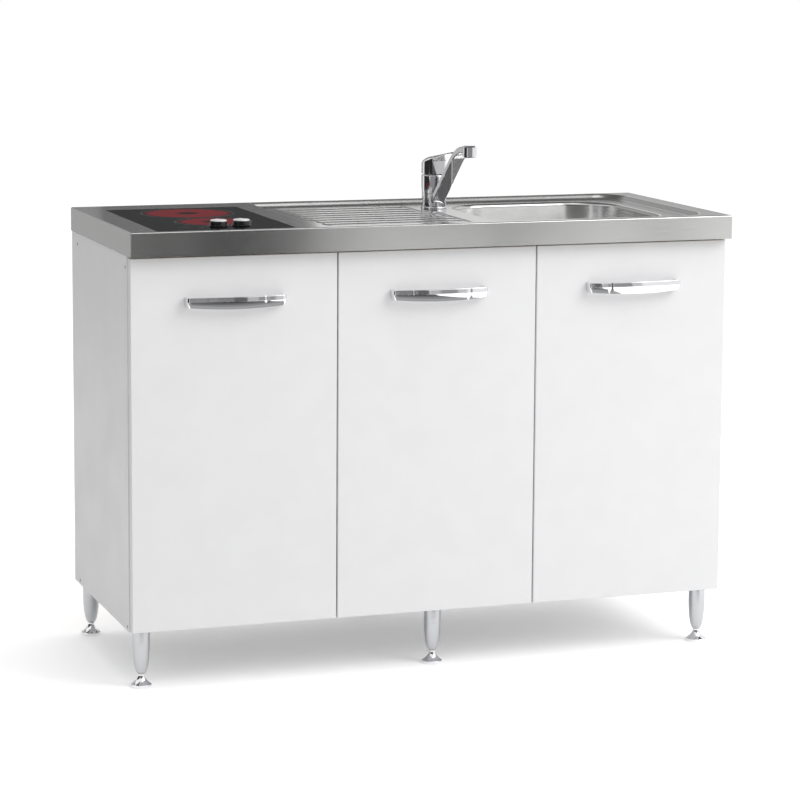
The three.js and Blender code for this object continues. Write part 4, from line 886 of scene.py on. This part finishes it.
# Pressed insulation: pale, matt and woolly, with the ribbon's turns in dull red.
insulation, tree, shader = surface("pressed_insulation", "c9b9a4", Roughness=0.95)
wool = grain_at(tree, 1.5, detail=6.0)
embossed(tree, shader, wool, 0.4, 0.5)
spot = spot_on_plan(tree)
colour = add(tree, "ShaderNodeMix", {0: between(tree, wool, 0, 1),
                                     6: linear("b5a590"), 7: linear("d8cab6")},
             data_type="RGBA").outputs[2]
ribbon_start, ribbon_pitch, ribbon_width, ribbon_margin = 14, 9, 2.2, 18
for x, y, radius in zones.values():
    away = distance_from(tree, spot, x, y)
    for turn in range(ribbon_start, int(radius - ribbon_margin), ribbon_pitch):
        colour = painted(tree, colour, within(tree, away, turn, turn + ribbon_width), "a5331f")
tree.links.new(colour, shader.inputs["Base Color"])
for zone in zones:
    finished(copied(f"heater_{zone}", f"heater_{zone}_pan"), insulation, "cabinet",
             f"heater_{zone}", 0.6)
finished(copied("hob_case", "hob_case_pressing"), nickelled, "cabinet", "hob_case",
         0.3, 1)
for side in knob_places:
    finished(copied(f"regulator_{side}", f"regulator_{side}_moulding"), white_plastic, "cabinet",
             f"regulator_{side}", 0.5)

# ---- Hob knobs ----------------------------------------------------------------------------------
# Black moulded knobs with a cap lacquered silver and a raised grip across the top, pushed on
# the regulators' spindles.

# Moulded black plastic: a soft shine.
black_plastic, tree, shader = surface("moulded_black_plastic", "18181a", Roughness=0.26)
dulled(tree, shader, grain_at(tree, 5), 0.2, 0.32)
embossed(tree, shader, grain_at(tree, 0.8), 0.05, 0.05)

# Silver lacquer on plastic: pale, with less of a shine than metal.
silver, tree, shader = surface("silver_lacquer", "e4e4e6", Metallic=0.3, Roughness=0.36)
dulled(tree, shader, grain_at(tree, 3), 0.32, 0.42)

grip_size, grip_middle = (0.0062, 0.0225, 0.0013), 0.8733
for side, x in knob_places.items():
    skirt = spun(f"hob_knob_{side}_skirt", [
        (0, 861), (17.6, 861), (18, 861.4), (18, 862.8), (17.6, 863.2), (16.6, 863.6),
        (16.3, 867), (16, 869.8), (15.6, 870.6), (0, 870.6)], x, knob_y, 64)
    finished(skirt, black_plastic, f"knob_{side}", f"hob_knob_{side}")
    cap = spun(f"hob_knob_{side}_cap", [
        (0, 870.6), (15.3, 870.6), (15.5, 871), (15.4, 872), (14.9, 872.7), (14, 873.1),
        (10, 873.3), (0, 873.4)], x, knob_y, 64)
    finished(cap, silver, f"knob_{side}", None)
    bpy.ops.object.select_all(action="DESELECT")
    bpy.ops.mesh.primitive_cube_add(size=1, location=(0, 0, 0))
    grip = bpy.context.object
    grip.name = f"hob_knob_{side}_grip"
    bpy.ops.object.mode_set(mode="EDIT")
    bpy.ops.mesh.select_all(action="SELECT")
    bpy.ops.transform.resize(value=grip_size)
    bpy.ops.transform.translate(value=(x / 1000, knob_y / 1000, grip_middle))
    bpy.ops.object.mode_set(mode="OBJECT")
    finished(grip, silver, f"knob_{side}", None, 0.6, 4)

# ---- Tap ----------------------------------------------------------------------------------------
# Cast brass, polished and chromed. A base ring stands on the deck, the spout's collar turns on
# the body above it, and the lever on top turns and rocks over the cartridge.

# Chrome on polished brass: a mirror with a slow ripple from the polishing wheel.
bright, tree, shader = surface("tap_chrome", "e4e4e7", Metallic=1.0, Roughness=0.04)
ripple = grain_at(tree, 16, detail=1.0)
dulled(tree, shader, ripple, 0.02, 0.07)
embossed(tree, shader, ripple, 0.05, 0.3)

ring = spun("tap_base_ring", [
    (16.4, 850), (25.6, 850), (26, 850.4), (26, 854.4), (25.4, 855.6), (24.6, 856), (16.4, 856),
    (16.4, 850)], tap_x, tap_y, 96)
finished(ring, bright, "cabinet", "tap_base")
body = spun("tap_body_casting", [
    (11, 800.8), (15.4, 800.8), (16, 801.4), (16, 856), (18, 856), (18, 882.8), (24.4, 882.8),
    (25, 883.4), (25, 917.6), (24.6, 918.8), (22.6, 920.8), (21.6, 921), (14.4, 921),
    (14.4, 891), (11, 888), (11, 800.8)], tap_x, tap_y, 96)
finished(body, bright, "cabinet", "tap_body")
barrel = spun("tap_cartridge_barrel", [
    (0, 890.8), (13.4, 890.8), (14, 891.4), (14, 923.4), (13.4, 924), (8.3, 924), (8.3, 912.8),
    (0, 912.8)], tap_x, tap_y, 64)
finished(barrel, white_plastic, "cabinet", "tap_cartridge")
finished(copied("tap_cam", "tap_cam_spindle"), satin, "cam", "tap_cam", 0.3)

# Turned brass, left bare under the deck: yellow and softly bright.
brass, tree, shader = surface("turned_brass", "c39a52", Metallic=1.0, Roughness=0.25)
dulled(tree, shader, grain_at(tree, 4), 0.2, 0.34)
finished(copied("tap_nut", "tap_nut_ring"), brass, "cabinet", "tap_nut", 0.4)
finished(copied("tap_aerator", "tap_aerator_sleeve"), satin, "spout", "tap_aerator",
         0.2)
finished(copied("tap_spout", "tap_spout_casting"), bright, "spout", "tap_spout", 0.8,
         3, 28)


def through_points(points, reach):
    """The height at a reach on a smooth curve through points of reach and height."""
    place = max(i for i in range(len(points) - 1) if points[i][0] <= reach + 1e-6)
    (x1, z1), (x2, z2) = points[place], points[place + 1]
    x0, z0 = points[max(place - 1, 0)]
    x3, z3 = points[min(place + 2, len(points) - 1)]
    t = (reach - x1) / (x2 - x1)
    rise1 = (z2 - z0) / (x2 - x0) * (x2 - x1)
    rise2 = (z3 - z1) / (x3 - x1) * (x2 - x1)
    return ((2 * t ** 3 - 3 * t ** 2 + 1) * z1 + (t ** 3 - 2 * t ** 2 + t) * rise1
            + (3 * t ** 2 - 2 * t ** 3) * z2 + (t ** 3 - t ** 2) * rise2)


# The lever is drawn lengthways from the tap's axis, its crown and its underside as reach and
# height over its foot.
lever_foot, lever_half, hub_radius, blade_start, lever_reach = 922.2, 13, 25, 25.2, 105
crown = ((-25, 11.6), (-19, 23.5), (-4, 33.3), (25, 38.4), (63, 44.5), (105, 50.5))
under = ((25, 25.8), (45, 31.8), (65, 37.2), (85, 42.2), (105, 47))
lever_turn = math.radians(2)
to_tap = (Matrix.Translation((tap_x / 1000, tap_y / 1000, 0))
          @ Matrix.Rotation(lever_turn, 4, "Z"))


def lever_section(reach, bottom, half):
    """The lever cut across: flat beneath, rounded over into the crown."""
    arc_steps = 18
    peak = through_points(crown, reach)
    round_over = min(half * 0.55, (peak - bottom) * 0.7)
    ring = [(half, bottom)]
    for i in range(arc_steps + 1):
        angle = i / arc_steps * math.pi
        ring.append((half * math.cos(angle), peak - round_over + round_over * math.sin(angle)))
    ring.append((-half, bottom))
    return [to_tap @ (Vector((x, -reach, lever_foot + z)) / 1000) for x, z in ring]


neck = math.sqrt(hub_radius ** 2 - lever_half ** 2)
hub_steps, blade_steps, tip_share = 32, 40, 0.18
rings = []
for step in range(1, hub_steps + 1):
    reach = -hub_radius * math.cos(step / hub_steps * 0.79 * math.pi)
    half = lever_half if reach > neck else math.sqrt(hub_radius ** 2 - reach ** 2)
    rings.append(lever_section(reach, 0, half))
rings.append(lever_section(hub_radius - 0.1, 0, lever_half))
for step in range(blade_steps + 1):
    share = 1 - (1 - step / blade_steps) ** 1.5
    reach = blade_start + (lever_reach - blade_start) * share
    tip = max(0.0, (share - (1 - tip_share)) / tip_share)
    rings.append(lever_section(reach, through_points(under, reach),
                               lever_half * math.sqrt(1.001 - 0.75 * tip ** 3)))
lever = lofted("tap_lever_casting", rings)
socket_radius, socket_foot, socket_top = 20, 921, 936.4
shaped(lever, "DIFFERENCE", bored(socket_radius, socket_foot, socket_top, tap_x, tap_y))
finished(lever, bright, "lever", "tap_lever", 0.3, 2, 38)
